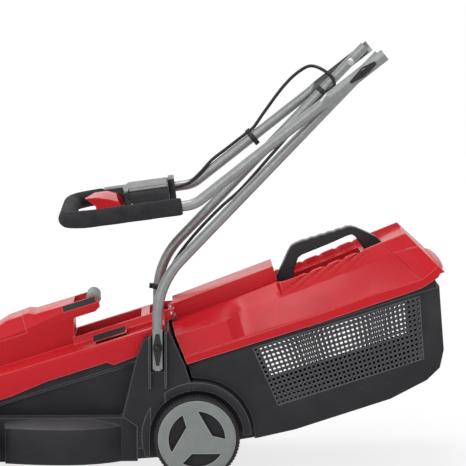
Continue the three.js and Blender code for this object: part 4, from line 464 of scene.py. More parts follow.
class MowerLook(bpy.types.PropertyGroup):
    """Sizes and colours that a user would change."""
    red: colour_property("Red", "Moulded red parts, lit side, sRGB hex", "#bd1c26")
    red_shade: colour_property("Red, shaded", "Second red of the mottle, sRGB hex", "#b51b25")
    charcoal: colour_property("Charcoal", "Deck and catcher plastic, sRGB hex", "#272629")
    charcoal_shade: colour_property("Charcoal, shaded", "Second charcoal of the mottle, sRGB hex", "#222124")
    grey: colour_property("Hub grey", "Hub caps and carry bar, sRGB hex", "#7d8280")
    grey_shade: colour_property("Hub grey, shaded", "Second grey of the mottle, sRGB hex", "#757b78")
    tube: colour_property("Tube grey", "Powder coat of the handle, sRGB hex", "#8a8d8c")
    tube_shade: colour_property("Tube grey, shaded", "Second grey of the powder coat, sRGB hex", "#808382")
    foam_radius: FloatProperty(name="Foam radius", description="Outer radius of the foam grip",
                               default=0.0165, unit="LENGTH")
    cable_radius: FloatProperty(name="Cable radius", description="Outer radius of the cable sheath",
                                default=0.0033, unit="LENGTH")
    edge_radius: FloatProperty(name="Moulded edge", description="Rounding of the moulded parts' edges",
                               default=0.0016, unit="LENGTH")
    tread_count: IntProperty(name="Tread teeth", description="Teeth round each tyre", default=78)
    grille_columns: IntProperty(name="Grille columns", description="Holes along the catcher's grille",
                                default=35)
    grille_rows: IntProperty(name="Grille rows", description="Holes up the catcher's grille", default=13)


def settings():
    """The scene's own copy of the settings."""
    return bpy.context.scene.mower_look


class MowerOperator(bpy.types.Operator):
    """Makes one group of pieces and raises an error if it can't."""
    bl_options = {"REGISTER"}

    def execute(self, context):
        self.build(settings())
        return {"FINISHED"}


# ------------------------------------------------------------------ frame nodes that stay

# Finish, rounding of the edges in millimetres, and the nodes that get both.
NODE_FINISHES = (
    ("charcoal", 1.0, ("deck_housing",)),
    ("charcoal", 0.6, ("catcher_shell_left", "catcher_shell_right")),
    ("insert", 0.4, ("carry_pad_left", "carry_pad_right")),
    ("black", 0.6, ("cable_clip_upper", "cable_clip_pivot", "cable_clip_lower", "switch_clamp",
                    "blade_holder")),
    ("black", 1.4, ("switch_housing",)),
    ("black", 1.5, ("battery_pack",)),
    ("red", 0.5, ("safety_key",)),
    ("board", 0.4, ("micro_switch",)),
    ("board", 0.6, ("battery_terminal",)),
    ("board", 0.8, ("controller_box",)),
    ("can", 0.8, ("motor_can",)),
    ("blade", 0.4, ("blade",)),
    ("zinc", 0.2, ("flap_spring",)),
    ("zinc", 0.3, ("flap_rod", "lower_bolt_left", "lower_bolt_right", "fold_bolt_left", "fold_bolt_right")),
    ("zinc", 0.4, ("motor_rotor", "blade_bolt", "axle_rear", "axle_front")),
    ("cream", 0.5, ("lock_off_button",)),
)


def dress(node, look, bevel, sharp=25):
    """Gives a node of the frame its finish; its loose triangles are joined into flat faces, and then
    the edges between those are rounded."""
    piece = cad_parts[node]
    piece.data.materials.clear()
    piece.data.materials.append(LOOKS[look])
    weld = piece.modifiers.new("Joined", "WELD")
    weld.merge_threshold = 0.02 * MM
    flat = piece.modifiers.new("Flat faces", "DECIMATE")
    flat.decimate_type = "DISSOLVE"
    flat.angle_limit = radians(1.5)
    round_edges(piece, bevel, sharp, 2)
    piece.data.polygons.foreach_set("use_smooth", np.ones(len(piece.data.polygons), bool))
    piece.data.set_sharp_from_angle(angle=radians(sharp))


class MOWER_OT_frame_nodes(MowerOperator):
    """Finish the frame nodes whose shape is already right"""
    bl_idname = "mower.frame_nodes"
    bl_label = "Frame nodes"

    def build(self, look):
        for node in ("motor_hood", "battery_cover", "rear_flap"):
            dress(node, "red", look.edge_radius / MM, sharp=20)
        for finish, bevel, nodes in NODE_FINISHES:
            for node in nodes:
                dress(node, finish, bevel)


# ------------------------------------------------------------------ handle tubes

SEAT_LOW, SEAT_HIGH, SEAT_Y = 223.0, 289.0, 161.0       # flat seat of the lower clamps
PRESSED_HALF = 11.75                    # half height of the upper tube where it is pressed
PRESSED_START, PRESSED_FULL = -100, -78         # along the tube, from the fold
# Both walls of the pressed channel, as (place at its edges, rise to its middle) across the tube.
OUTER_WALL, INNER_WALL = (-6, 5), (-7.6, 4)
FOAM_LEFT_START, FOAM_RIGHT_END = 24, 178.4     # along the grip, from the bend
FOAM_BORE = TUBE_RADIUS + 0.3
FOAM_END_DROP, FOAM_END_LENGTH = 1.8, 5
FOAM_WAVE, FOAM_WAVE_STEP = 0.15, 9


class MOWER_OT_lower_tubes(MowerOperator):
    """Lower handle tubes, open at the top and pressed flat under the lower clamps"""
    bl_idname = "mower.lower_tubes"
    bl_label = "Lower tubes"

    def build(self, look):
        end = FOLD + LOWER_OVERRUN * LOWER_DIRECTION
        for side, sign in SIDES:
            y = sign * LOWER_Y * Y_AXIS
            route = spaced(rounded([FOOT + y, LOWER_BEND + y, end + y], [LOWER_BEND_RADIUS]), 6.0)
            edges = [np.array([FOOT[0], sign * LOWER_Y, z])
                     for z in (SEAT_LOW - 1, SEAT_LOW, SEAT_HIGH, SEAT_HIGH + 1)]
            route = np.concatenate([route, edges])
            route = route[np.unique(np.round(route[:, 2], 3), return_index=True)[1]]
            outer = carried(route, circle(TUBE_RADIUS, 40), Y_AXIS)
            inner = carried(route, circle(TUBE_RADIUS - TUBE_WALL, 40), Y_AXIS)
            seated = (route[:, 2] >= SEAT_LOW) & (route[:, 2] <= SEAT_HIGH)
            outer[seated, :, 1] = sign * np.minimum(sign * outer[seated, :, 1], SEAT_Y)
            inner[seated, :, 1] = sign * np.minimum(sign * inner[seated, :, 1], SEAT_Y - TUBE_WALL)
            piece = pipe_skin(f"lower_handle_tube_{side}", outer, inner)
            finished(piece, "tube", "chassis", [f"lower_tube_{side}"])


def upper_route():
    """The upper tube's line: left end, left bend, the grip's cross bar, right bend, right end."""
    start, left, right = FOLD + UPPER_OVERRUN * UPPER_DIRECTION, -UPPER_Y * Y_AXIS, UPPER_Y * Y_AXIS
    corners = [start + left, UPPER_BEND + left, GRIP_BAR + left, GRIP_BAR + right, UPPER_BEND + right,
               start + right]
    radii = [UPPER_BEND_RADIUS, GRIP_CORNER_RADIUS, GRIP_CORNER_RADIUS, UPPER_BEND_RADIUS]
    return spaced(rounded(corners, radii), 5.0)


class MOWER_OT_upper_tube(MowerOperator):
    """Upper handle tube in one piece, both ends pressed into shallow channels"""
    bl_idname = "mower.upper_tube"
    bl_label = "Upper tube"

    def build(self, look):
        route = upper_route()
        distance = (route - FOLD) @ UPPER_DIRECTION
        pressed = smoothstep(distance, PRESSED_START, PRESSED_FULL)[:, None]
        height, across = circle(1, 40).T
        bulge = 1 - height * height
        channel = np.where(across >= 0, OUTER_WALL[0] + OUTER_WALL[1] * bulge,
                           INNER_WALL[0] + INNER_WALL[1] * bulge)
        up = TUBE_RADIUS * height * (1 - pressed) + PRESSED_HALF * height * pressed
        out = TUBE_RADIUS * across * (1 - pressed) + channel * pressed
        piece = bar_skin("upper_handle_tube", route, np.stack([up, out], -1), GRIP_ACROSS)
        finished(piece, "tube", "upper_handle", ["upper_tube"])


class MOWER_OT_foam_grip(MowerOperator):
    """Foam sleeve from the left leg round the cross bar to the switch box"""
    bl_idname = "mower.foam_grip"
    bl_label = "Foam grip"

    def build(self, look):
        radius = look.foam_radius / MM
        start = UPPER_BEND - FOAM_LEFT_START * GRIP_DIRECTION - UPPER_Y * Y_AXIS
        end = UPPER_BEND - FOAM_RIGHT_END * GRIP_DIRECTION + UPPER_Y * Y_AXIS
        corners = [start, GRIP_BAR - UPPER_Y * Y_AXIS, GRIP_BAR + UPPER_Y * Y_AXIS, end]
        route = spaced(rounded(corners, [GRIP_CORNER_RADIUS, GRIP_CORNER_RADIUS]), 4.0)
        length = np.concatenate([[0], np.cumsum(np.linalg.norm(np.diff(route, axis=0), axis=1))])
        near_end = np.minimum(length, length[-1] - length)
        radii = radius - FOAM_END_DROP * (1 - smoothstep(near_end, 0, FOAM_END_LENGTH))
        radii += FOAM_WAVE * np.sin(length / FOAM_WAVE_STEP)
        outer = carried(route, circle(1, 40)[None] * radii[:, None, None], GRIP_ACROSS)
        inner = carried(route, circle(FOAM_BORE, 40), GRIP_ACROSS)
        finished(pipe_skin("foam_sleeve", outer, inner), "foam", "upper_handle", ["foam_grip"])


# ------------------------------------------------------------------ clamps

# Outlines (along, across) from the bolt's axis, and the boss as (radius, height) above the lever's seat.
# The lever turns about a pin 6.9 mm above its seat, so it ends less than that far past the bolt.
LEVER_ARM = [(6, -6.4), (6, 6.4), (-5, 8), (-33, 2.6), (-33, -2.6), (-5, -8)]
LEVER_THICKNESS = 6.2
LEVER_BOSS = [(0, 0), (6.4, 0), (6.4, 10.5), (5.6, 12.2), (4.2, 12.9), (3.4, 11.8), (0, 11.8)]
WASHER = [(27, -3.6), (27, 3.6), (9, 7), (4, 8.7), (-4, 8.7), (-8.5, 3), (-8.5, -3), (-4, -8.7), (4, -8.7),
          (9, -7)]
SADDLE_PLATE = [(-41, -9.4), (36, -9.4), (36, 9.4), (-41, 9.4)]
SADDLE_INSIDE, SADDLE_OUTSIDE = 161.2, 163.4
LEVER_GAP = 0.5                 # between the washer and the lever's seat
LOWER_BOLT = np.array([FOOT[0], 0, 256.0])
# Name, body it sits on, bolt, direction of the lever's short end, |y| under the washer and of the seat.
CLAMPS = (
    ("lower", "chassis", LOWER_BOLT, Z_AXIS, SADDLE_OUTSIDE, 165.4),
    ("fold", "upper_handle", FOLD, UPPER_DIRECTION, 172.5, 176.4),
)


def clamp_place(centre, along, sign, seat):
    """Places points (a, h, b): a along the lever, h outward from the seat, b square to both."""
    across = np.cross(Y_AXIS, along)

    def place(points):
        """Points (a, h, b) in the axle frame."""
        a, h, b = np.moveaxis(np.asarray(points, float), -1, 0)
        return centre + a[..., None] * along + b[..., None] * across + sign * (seat + h)[..., None] * Y_AXIS

    return place


class MOWER_OT_clamps(MowerOperator):
    """Clamp levers: a tapered arm with a round boss on a long washer; grey saddles under the lower ones"""
    bl_idname = "mower.clamps"
    bl_label = "Clamps"

    def build(self, look):
        for side, sign in SIDES:
            for name, parent, centre, along, under, seat in CLAMPS:
                washer = prism(f"{name}_washer_{side}", softened(WASHER, 1.0), under, seat - LEVER_GAP,
                               clamp_place(centre, along, sign, 0), 40)
                finished(washer, "boss", parent, [f"{name}_saddle_{side}"], bevel=0.6,
                         sharp=40)
                place = clamp_place(centre, along, sign, seat)
                body = f"{name}_clamp_{side}"
                arm = prism(f"{name}_lever_arm_{side}", softened(LEVER_ARM, 1.2), 0, LEVER_THICKNESS,
                            place, 40)
                finished(arm, "boss", body, [f"{name}_lever_{side}"], bevel=1.4, sharp=40)
                ring = turned(LEVER_BOSS, 32)
                boss = surface(f"{name}_lever_boss_{side}", place(ring[..., [0, 2, 1]]),
                               grid_faces(*ring.shape[:2]), 35)
                finished(boss, "boss", body)
            saddle = prism(f"lower_saddle_plate_{side}", softened(SADDLE_PLATE, 1.2), SADDLE_INSIDE,
                           SADDLE_OUTSIDE, clamp_place(LOWER_BOLT, Z_AXIS, sign, 0), 40)
            finished(saddle, "tube", "chassis", bevel=0.6, sharp=40)


# ------------------------------------------------------------------ cables

CABLE_UPPER = [
    (-50, 157.7, 524.9), (-36.7, 157.7, 526.7), (-10, 158, 536), (12, 162, 555), (36, 172, 580),
    (67, 173, 604), (103.9, 173, 632.8), (113.3, 173, 640.2),
]
CABLE_LOOP = [
    (113.8, 173, 640.5), (119.6, 173, 645.1), (142, 172, 677), (183, 168, 732), (210, 165, 758),
    (234, 156, 771), (260, 141, 763), (279, 137, 745), (281, 138, 733), (274, 143.5, 724.8),
    (266.8, 145.2, 717.5),
]
CABLE_LOWER = [
    (266.4, 145.2, 717), (258.3, 145.2, 708.5), (207, 143, 652), (150, 142, 587), (92, 142, 522),
    (54, 142, 488), (5, 143, 437), (-30, 146, 393), (-51, 152, 356), (-59, 155, 332), (-59.7, 155, 323.9),
    (-60.4, 155, 316), (-60.5, 151, 309), (-64, 143, 305.5), (-72, 133, 303), (-78, 128.5, 298),
    (-80, 128, 287),
]


class MOWER_OT_cables(MowerOperator):
    """Switch cable: held along the far tubes, with its free loop over the fold"""
    bl_idname = "mower.cables"
    bl_label = "Cable"

    def build(self, look):
        radius = look.cable_radius / MM
        for name, points, node in (("switch_cable_upper", CABLE_UPPER, "cable_upper"),
                                   ("switch_cable_loop", CABLE_LOOP, "cable_loop"),
                                   ("switch_cable_lower", CABLE_LOWER, "cable_lower")):
            piece = bar_skin(name, flowing(points, 10), circle(radius, 20), Y_AXIS)
            body = "chassis" if node == "cable_lower" else "upper_handle"
            if node != "cable_loop":
                finished(piece, "cable", body, [node])
                continue
            piece.data.materials.append(LOOKS["cable"])
            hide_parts(node)
            row_frame(points[0]).tolist()
            row_frame(points[-1]).tolist()
            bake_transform(piece)


# ------------------------------------------------------------------ wheels

REAR_RADIUS = 82.5
WHEELS = (("rear", 0.0, REAR_RADIUS), ("front", -432.0, 60.0))      # name, x and radius
WHEEL_Y = 161                   # |y| of the wheels' middle planes
TOOTH_DEPTHS = (1.3, 1.3, 1.5, 1.4, 0.8)        # at the profile's points from the tread to the shoulder


def tyre_profile(radius):
    """Tyre section (radius, height): inner face, tread with rounded shoulders, outer face, disc."""
    return [
        (15, -19), (15, 4), (radius - 12, 4), (radius - 12, -18), (radius - 11, -19), (radius - 4, -19),
        (radius - 1.2, -17.2), (radius, -14), (radius, 12.5), (radius - 0.6, 15), (radius - 2.0, 17.0),
        (radius - 3.4, 18.4), (radius - 5, 19), (radius - 7.4, 19), (radius - 8, 18.4), (radius - 8, 9.5),
        (radius - 9, 8.8), (20, 8.8), (18, 10.5), (12, 11), (5.4, 11), (5.4, -18), (6.4, -19),
    ]


def tyre(radius, teeth):
    """Skin and faces of a turned tyre, notched on tread and shoulder: the radius falls by depth(section)
    at the first two of each tooth's four steps round the wheel."""
    per_tooth = 4
    skin = turned(tyre_profile(radius), teeth * per_tooth)
    notch = (np.arange(teeth * per_tooth) % per_tooth < 2).astype(float)
    depth = np.zeros(len(skin))
    depth[7:12] = TOOTH_DEPTHS
    shrink = 1 - depth[:, None] * notch[None] / radius
    skin[..., :2] *= shrink[..., None]
    return skin, grid_faces(*skin.shape[:2], wrap_rows=True)


def wheel_place(points, x, sign, z):
    """Turned parts (a, b, h) set on a wheel: h points away from the mower's middle."""
    a, b, h = np.moveaxis(np.asarray(points, float), -1, 0)
    return np.stack([x + a, sign * (WHEEL_Y + h), z + b], -1)


WINDOW_START, WINDOW_APEX, WINDOW_END = 0.0, radians(11), radians(88)     # in each third of a turn
WINDOW_RING = 3                 # the band of faces that holds the windows


def hub_cap_skin(radius, scale):
    """Hub cap on a polar grid: rings at the nest, the windows' inner edge, their outer arc, the rim.
    A window's inner edge runs straight from its apex to both ends of its arc."""
    rim, arc, apex = radius - 8.4, 54 * scale, 30 * scale
    angle = np.concatenate([2 * pi * k / 3 + np.concatenate([
        np.linspace(WINDOW_START, WINDOW_APEX, 5)[:-1], np.linspace(WINDOW_APEX, WINDOW_END, 22)[:-1],
        np.linspace(WINDOW_END, 2 * pi / 3, 9)[:-1]]) for k in range(3)])
    local = np.mod(angle, 2 * pi / 3)

    def chord(a0, r0, a1, r1):
        """Radius on the straight line between two polar points, at each local angle."""
        p0, p1 = np.array([r0 * cos(a0), r0 * sin(a0)]), np.array([r1 * cos(a1), r1 * sin(a1)])
        side = np.array([p1[1] - p0[1], p0[0] - p1[0]])
        return (side @ p0) / (side[0] * np.cos(local) + side[1] * np.sin(local))

    low = np.where(local < WINDOW_APEX, chord(WINDOW_START, arc, WINDOW_APEX, apex),
                   chord(WINDOW_APEX, apex, WINDOW_END, arc))
    inside = local <= WINDOW_END + 1e-9
    low = np.where(inside, np.minimum(low, arc - 0.01), arc - 12 * scale)
    rings = [np.zeros_like(angle), np.full_like(angle, 6.0 * scale), np.full_like(angle, 18 * scale), low,
             np.full_like(angle, arc), np.full_like(angle, rim - 9 * scale), np.full_like(angle, rim - 3),
             np.full_like(angle, rim)]
    height = [18.6, 18.6, 18.7, 19.0, 19.4, 19.8, 19.4, 18.2]
    skin = np.stack([np.stack([r * np.cos(angle), r * np.sin(angle), np.full_like(angle, h)], -1)
                     for r, h in zip(rings, height)])
    faces = np.array(grid_faces(*skin.shape[:2])).reshape(len(rings) - 1, -1, 4)
    middle = (local + np.roll(local, -1)) / 2
    open_window = inside & (np.roll(local, -1) <= WINDOW_END + 1e-9) & (middle < WINDOW_END)
    keep = np.ones(faces.shape[:2], bool)
    keep[WINDOW_RING, open_window] = False
    return skin, faces[keep].tolist()


class MOWER_OT_wheels(MowerOperator):
    """Four wheels: notched tyres and grey hub caps with three windows"""
    bl_idname = "mower.wheels"
    bl_label = "Wheels"

    def build(self, look):
        for end, x, radius in WHEELS:
            scale = radius / REAR_RADIUS
            for side, sign in SIDES:
                body = f"{end}_wheel_{side}"
                skin, faces = tyre(radius, round(look.tread_count * scale))
                piece = surface(f"tyre_{end}_{side}", wheel_place(skin, x, sign, radius), faces, 35)
                finished(piece, "tread", body, [f"wheel_{end}_{side}"])
                skin, faces = hub_cap_skin(radius, scale)
                cap = surface(f"hub_cap_cover_{end}_{side}", wheel_place(skin, x, sign, radius), faces, 35)
                thicken(cap, 5.0)
                finished(cap, "hub", body, [f"hub_cap_{end}_{side}"], bevel=1.2, sharp=40)


# ------------------------------------------------------------------ catcher

# Corners (u, v): front and rear of the top edge, then of the lower edge; and |y| of the panel.
GRILLE = np.array([[(176, 209), (511, 209)], [(190, 86), (484, 89)]], float)
GRILLE_Y = 142.4


def grille_point(s, t):
    """Point of the grille: bilinear between its four corners, s along it and t down it."""
    s, t = s[..., None], t[..., None]
    top = GRILLE[0, 0] * (1 - s) + GRILLE[0, 1] * s
    low = GRILLE[1, 0] * (1 - s) + GRILLE[1, 1] * s
    return top * (1 - t) + low * t


def perforated(columns, rows):
    """Points and faces of a panel of cells, each a ring of sixteen triangles between its square edge and
    a hole with eight sides."""
    angle = pi / 4 * np.arange(8)
    edge = np.stack([np.cos(angle), np.sin(angle)], -1)
    edge /= np.abs(edge).max(1)[:, None]
    reach = 0.5 * np.array([0.66, 0.68])
    turn = angle + pi / 8
    hole = np.stack([np.cos(turn), np.sin(turn)], -1) / cos(pi / 8)
    hole = np.clip(hole, -0.97, 0.97) * reach
    cell = np.concatenate([0.5 * edge, hole])
    column, line = np.meshgrid(np.arange(columns) + 0.5, np.arange(rows) + 0.5)
    centres = np.stack([column, line], -1).reshape(-1, 1, 2)
    share = (centres + cell[None]) / (columns, rows)
    points = grille_point(share[..., 0], share[..., 1])
    k = np.arange(8)
    after = (k + 1) % 8
    shape = np.concatenate([np.stack([k, after, 8 + k], -1), np.stack([after, 8 + after, 8 + k], -1)])
    faces = shape[None] + 16 * np.arange(len(points))[:, None, None]
    return points.reshape(-1, 2), faces.reshape(-1, 3).tolist()


class MOWER_OT_grilles(MowerOperator):
    """Perforated panels in the sides of the catcher"""
    bl_idname = "mower.grilles"
    bl_label = "Catcher grilles"

    def build(self, look):
        for side, sign in SIDES:
            # The right panel has two columns fewer, so its holes drift against the left one's.
            points, faces = perforated(look.grille_columns - 2 * (sign > 0), look.grille_rows)
            flat = np.stack([points[:, 0], np.full(len(points), sign * GRILLE_Y), points[:, 1]], -1)
            piece = surface(f"catcher_grille_{side}", from_raked(flat), faces)
            thicken(piece, 1.0, offset=0)
            finished(piece, "charcoal", "catcher")


# Stations (u, v) along the lid: top of the ridges, crease over the side facet, both edges of the rim.
LID_TOP = ([38, 262, 274, 350, 440, 522], [287.2, 305, 304, 309.5, 317.5, 324.4])
LID_CREASE = ([150, 235, 295, 398, 486], [273.5, 276.4, 278, 287, 296])
LID_RIM_TOP = ([48, 318, 420, 479, 525, 545, 569], [231, 233.8, 238.6, 238.6, 239, 245.4, 254.7])
LID_RIM_LOW = ([49, 313, 424, 480, 522, 540, 561, 569],
               [217.2, 217.6, 220.5, 221.6, 223.5, 228, 233.8, 239.5])
LID_FLAP_END, LID_FACET_END, LID_REAR = 256.0, 471.0, 522.0     # along u
LID_STEP = 473.5                # row where the end face has stepped out from the side facet
# |y| of the ridge under the flap and behind it, of the groove, of the crease in front, of the facet's foot.
LID_FLAP_Y, LID_RIDGE_Y, LID_GROOVE_Y, LID_SIDE_Y, LID_FACET_Y = 60.0, 84.0, 44.0, 130.0, 145.0
LID_RIM_Y = (149.2, 149.9, 147.4)       # |y| of the rim's shelf and of its lower edge, outside and inside
LID_CHANNEL, LID_GROOVE, LID_STEP_OUT, LID_TURN_IN = 12.5, 26.0, 2.6, 14.0      # depths
LID_FRONT_U, LID_FRONT_V, LID_FRONT_LEAN = 48.6, 216.8, 0.104
FLUTE_FROM, FLUTE_COUNT, FLUTE_PITCH, FLUTE_LEAN, FLUTE_DEPTH = 294.0, 4, 35.3, 2.8, 4.5


def flute(u, drop):
    """Depth share of the flutes, which run down the wall and forward: a wave of u + lean * drop that
    sinks from 50% to 84% of its pitch and comes back over the rest."""
    place = (u + FLUTE_LEAN * drop - FLUTE_FROM) / FLUTE_PITCH
    phase = np.mod(place, 1)
    deep = smoothstep(phase, 0.5, 0.84) - smoothstep(phase, 0.84, 1)
    return np.where((place > 0) & (u < FLUTE_FROM + FLUTE_COUNT * FLUTE_PITCH), deep, 0)


def lid_skin():
    """Lid over rows u and columns |y|: groove, channel, ridge, fluted wall, crease, side facet, rim.
    Rows lean back with the rear face: u = row + lean * (top - v)."""
    row = np.unique(np.round(np.concatenate([
        np.linspace(48, 160, 15), np.linspace(160, 290, 14), np.arange(290, 440, 2.0),
        np.linspace(440, LID_FACET_END, 10), np.linspace(475, LID_REAR, 6),
        [LID_FLAP_END, 257.5, 260, 263, 298, 428, 432, LID_STEP]]), 2))
    top = np.interp(row, *LID_TOP)
    lean = 0.62 * smoothstep(row, 435, LID_FACET_END) - 0.064 * smoothstep(row, LID_FACET_END, LID_REAR)

    def leant(v):
        """Place u of each row at the height v."""
        return row + lean * (top - v)

    facet = smoothstep(row, 142, 178)
    ridge_y = LID_FLAP_Y + (LID_RIDGE_Y - LID_FLAP_Y) * smoothstep(row, LID_FLAP_END, 263)
    beyond = smoothstep(row, LID_FACET_END, LID_FACET_END + 4)
    crease_v = np.interp(leant(np.interp(row, *LID_CREASE)), *LID_CREASE)
    shelf = np.interp(leant(np.interp(row, *LID_RIM_TOP)), *LID_RIM_TOP)
    low = np.interp(leant(np.interp(row, *LID_RIM_LOW)), *LID_RIM_LOW)
    inset_y = np.interp(row, [168, LID_FACET_END], [88, 98])
    crease_y = LID_SIDE_Y * (1 - facet) + inset_y * facet
    share = (top - crease_v) / (top - shelf)
    crease_y += beyond * (LID_RIDGE_Y + (LID_FACET_Y - LID_RIDGE_Y) * share - crease_y)
    floor = top - LID_CHANNEL * smoothstep(row, 255, 263) + 3.5 * smoothstep(row, 440, 500)
    groove = floor - LID_GROOVE * smoothstep(row, 296, 299) * (1 - smoothstep(row, 428, 432))
    same = np.ones_like(row)
    turned_in = LID_TURN_IN * np.clip((row - LID_FACET_END) / (LID_REAR - LID_FACET_END), 0, 1)
    columns = [(0 * same, groove), (LID_GROOVE_Y * same, groove), ((LID_GROOVE_Y + 1) * same, floor),
               (ridge_y - 12, floor)]
    for inset in (7, 1.5):
        columns.append((ridge_y - inset, top - 0.7 - FLUTE_DEPTH * flute(row, 0)))
    for down in np.linspace(0.06, 0.94, 16):
        drop = (top - crease_v) * down
        y = ridge_y + (crease_y - ridge_y) * down
        sunk = (1 - down) * flute(row, drop)
        columns.append((y - FLUTE_DEPTH * sunk, top - drop - FLUTE_DEPTH * (1 - down) ** 3 * sunk))
    for down in (0, 0.04, 0.96, 1):
        y = crease_y + (LID_FACET_Y - crease_y) * down - turned_in * 4 * (0.04 + 0.92 * down) * (1 - down)
        y = y + LID_STEP_OUT * (1 - 0.5 * down) * smoothstep(row, LID_FACET_END, LID_STEP)
        columns.append((y, crease_v + (shelf + 1.6 - crease_v) * down))
    columns += [(y * same, v) for y, v in zip(LID_RIM_Y, (shelf, low, low))]
    half = np.stack([np.stack([leant(v), y, v], -1) for y, v in columns], 1)
    half[0, :, 0] = LID_FRONT_U - LID_FRONT_LEAN * (half[0, :, 2] - LID_FRONT_V)
    other = half[:, :0:-1] * (1, -1, 1)
    return np.concatenate([other, half], 1)


REAR_LIP = np.array([(558, 240.5), (560, 255), (565, 257.5), (571, 253.5), (575, 247), (576, 240.5)])
REAR_LIP_HALF = 126
FLANGE_FROM, FLANGE_TO, FLANGE_LOW = 290, 548, 214.0    # along u, and v of its lower edge
FLANGE_INSIDE, FLANGE_OUTSIDE = 140.0, 142.1            # |y|


def rear_lip_skin():
    """Lip of the lid's rear rim: a hooked section (u, v) that swells from both ends to the middle as
    (1 - (y / half)^2)^0.3."""
    y = REAR_LIP_HALF * np.sin(np.linspace(-pi / 2, pi / 2, 31))
    swell = np.maximum(1 - (y / REAR_LIP_HALF) ** 2, 0.002) ** 0.3
    ring = REAR_LIP[0] + (REAR_LIP - REAR_LIP[0]) * swell[:, None, None]
    return np.stack([ring[..., 0], np.broadcast_to(y[:, None], ring.shape[:2]), ring[..., 1]], -1)


class MOWER_OT_catcher_lid(MowerOperator):
    """Red lid of the catcher with its side facets, fluted ridges and rim, and the shells' top flanges"""
    bl_idname = "mower.catcher_lid"
    bl_label = "Catcher lid"

    def build(self, look):
        skin = lid_skin()
        rows, columns = skin.shape[:2]
        last = (rows - 1) * columns
        ends = [list(range(columns)), list(range(last, last + columns))]
        faces = grid_faces(rows, columns, wrap_columns=False) + ends
        piece = surface("catcher_lid_cover", from_raked(skin), faces, 22)
        thicken(piece, 2.2)
        finished(piece, "red", "catcher", ["catcher_lid"], bevel=1.2, sharp=24, segments=2)
        skin = rear_lip_skin()
        lip = surface("catcher_lid_lip", from_raked(skin), capped(*skin.shape[:2]), 40)
        finished(lip, "red", "catcher")
        u = np.linspace(FLANGE_FROM, FLANGE_TO, 24)
        upper = np.stack([u, np.interp(u, *LID_RIM_LOW) + 2], -1)
        lower = np.stack([u[::-1], np.full(len(u), FLANGE_LOW)], -1)
        for side, sign in SIDES:
            flange = prism(f"shell_flange_{side}", np.concatenate([upper, lower]), sign * FLANGE_INSIDE,
                           sign * FLANGE_OUTSIDE)
            finished(flange, "charcoal", "catcher")


# Outline (u, v) in front of and behind the scallops, and of the opening.
HANDLE_FRONT = [(258, 292), (261, 304.8), (297, 346), (306, 354.5), (316, 357)]
HANDLE_REAR = [(428, 356.5), (438, 351), (471, 322.0), (478, 308)]
HANDLE_OPENING = [(441, 304), (431, 335), (426, 340.5), (417, 341), (380, 336.5), (321, 331.5), (312, 328),
                  (297, 306), (295.5, 292)]
HANDLE_HALF = 12
SCALLOP_FROM, SCALLOP_TO, SCALLOP_COUNT, SCALLOP_V, SCALLOP_HEIGHT = 330, 420, 5, 357.6, 0.6


class MOWER_OT_catcher_handle(MowerOperator):
    """Carry handle of the catcher: one bent grip with scallops for the fingers on top"""
    bl_idname = "mower.catcher_handle"
    bl_label = "Catcher handle"

    def build(self, look):
        along = np.linspace(SCALLOP_FROM, SCALLOP_TO, 37)
        turns = (along - SCALLOP_FROM) / (SCALLOP_TO - SCALLOP_FROM) * SCALLOP_COUNT
        scallops = np.stack([along, SCALLOP_V + SCALLOP_HEIGHT * np.cos(turns * 2 * pi)], -1)
        outline = [*HANDLE_FRONT, *scallops, *HANDLE_REAR, *HANDLE_OPENING]
        piece = prism("catcher_carry_handle", outline, -HANDLE_HALF, HANDLE_HALF, sharp=50)
        finished(piece, "black", "catcher", ["catcher_handle"], bevel=2.6, sharp=50,
                 segments=4)


# ------------------------------------------------------------------ hood details

CARRY_BAR_U, CARRY_BAR_V, CARRY_BAR_RADIUS = -93.5, 373.5, 13.8
CARRY_BAR_HALF, CARRY_BAR_STRAIGHT, CARRY_BAR_END = 38.6, 30, 3         # |y|, and the rounded ends' length


class MOWER_OT_carry_grip(MowerOperator):
    """Grey bar between the arms of the carry handle, with rounded ends"""
    bl_idname = "mower.carry_grip"
    bl_label = "Carry bar"

    def build(self, look):
        share = np.sin(np.linspace(0.25, 1, 7) * pi / 2)
        share = np.concatenate([share, np.ones(7), share[::-1]])[:, None]
        end = CARRY_BAR_END * np.linspace(0, 1, 7) ** 2
        y = np.concatenate([-CARRY_BAR_HALF + end, np.linspace(-CARRY_BAR_STRAIGHT, CARRY_BAR_STRAIGHT, 7),
                            CARRY_BAR_HALF - end[::-1]])
        ring = circle(CARRY_BAR_RADIUS, 36)
        skin = np.stack([CARRY_BAR_U + share * ring[:, 0], np.broadcast_to(y[:, None], (len(y), 36)),
                         CARRY_BAR_V + share * ring[:, 1]], -1)
        piece = surface("carry_bar", from_raked(skin), capped(*skin.shape[:2]), 50)
        finished(piece, "hub", "chassis", ["carry_grip"])


# Corners (u, |y|, v), the two outer ones first: a wedge on the hood's shelf, and the plate on the wedge.
PLATE_PAD = np.array([(-114, 103, 303), (-46, 103, 303), (-46, 59.5, 303), (-114, 59.5, 303)])
PLATE_PAD_RISE = np.array([(0, 0, 0.4), (0, 0, 0.4), (0, 0, 5), (0, 0, 5)])
PLATE = np.array([(-113, 98, 303.6), (-48, 98, 303.6), (-48, 61, 307.6), (-113, 61, 307.6)])


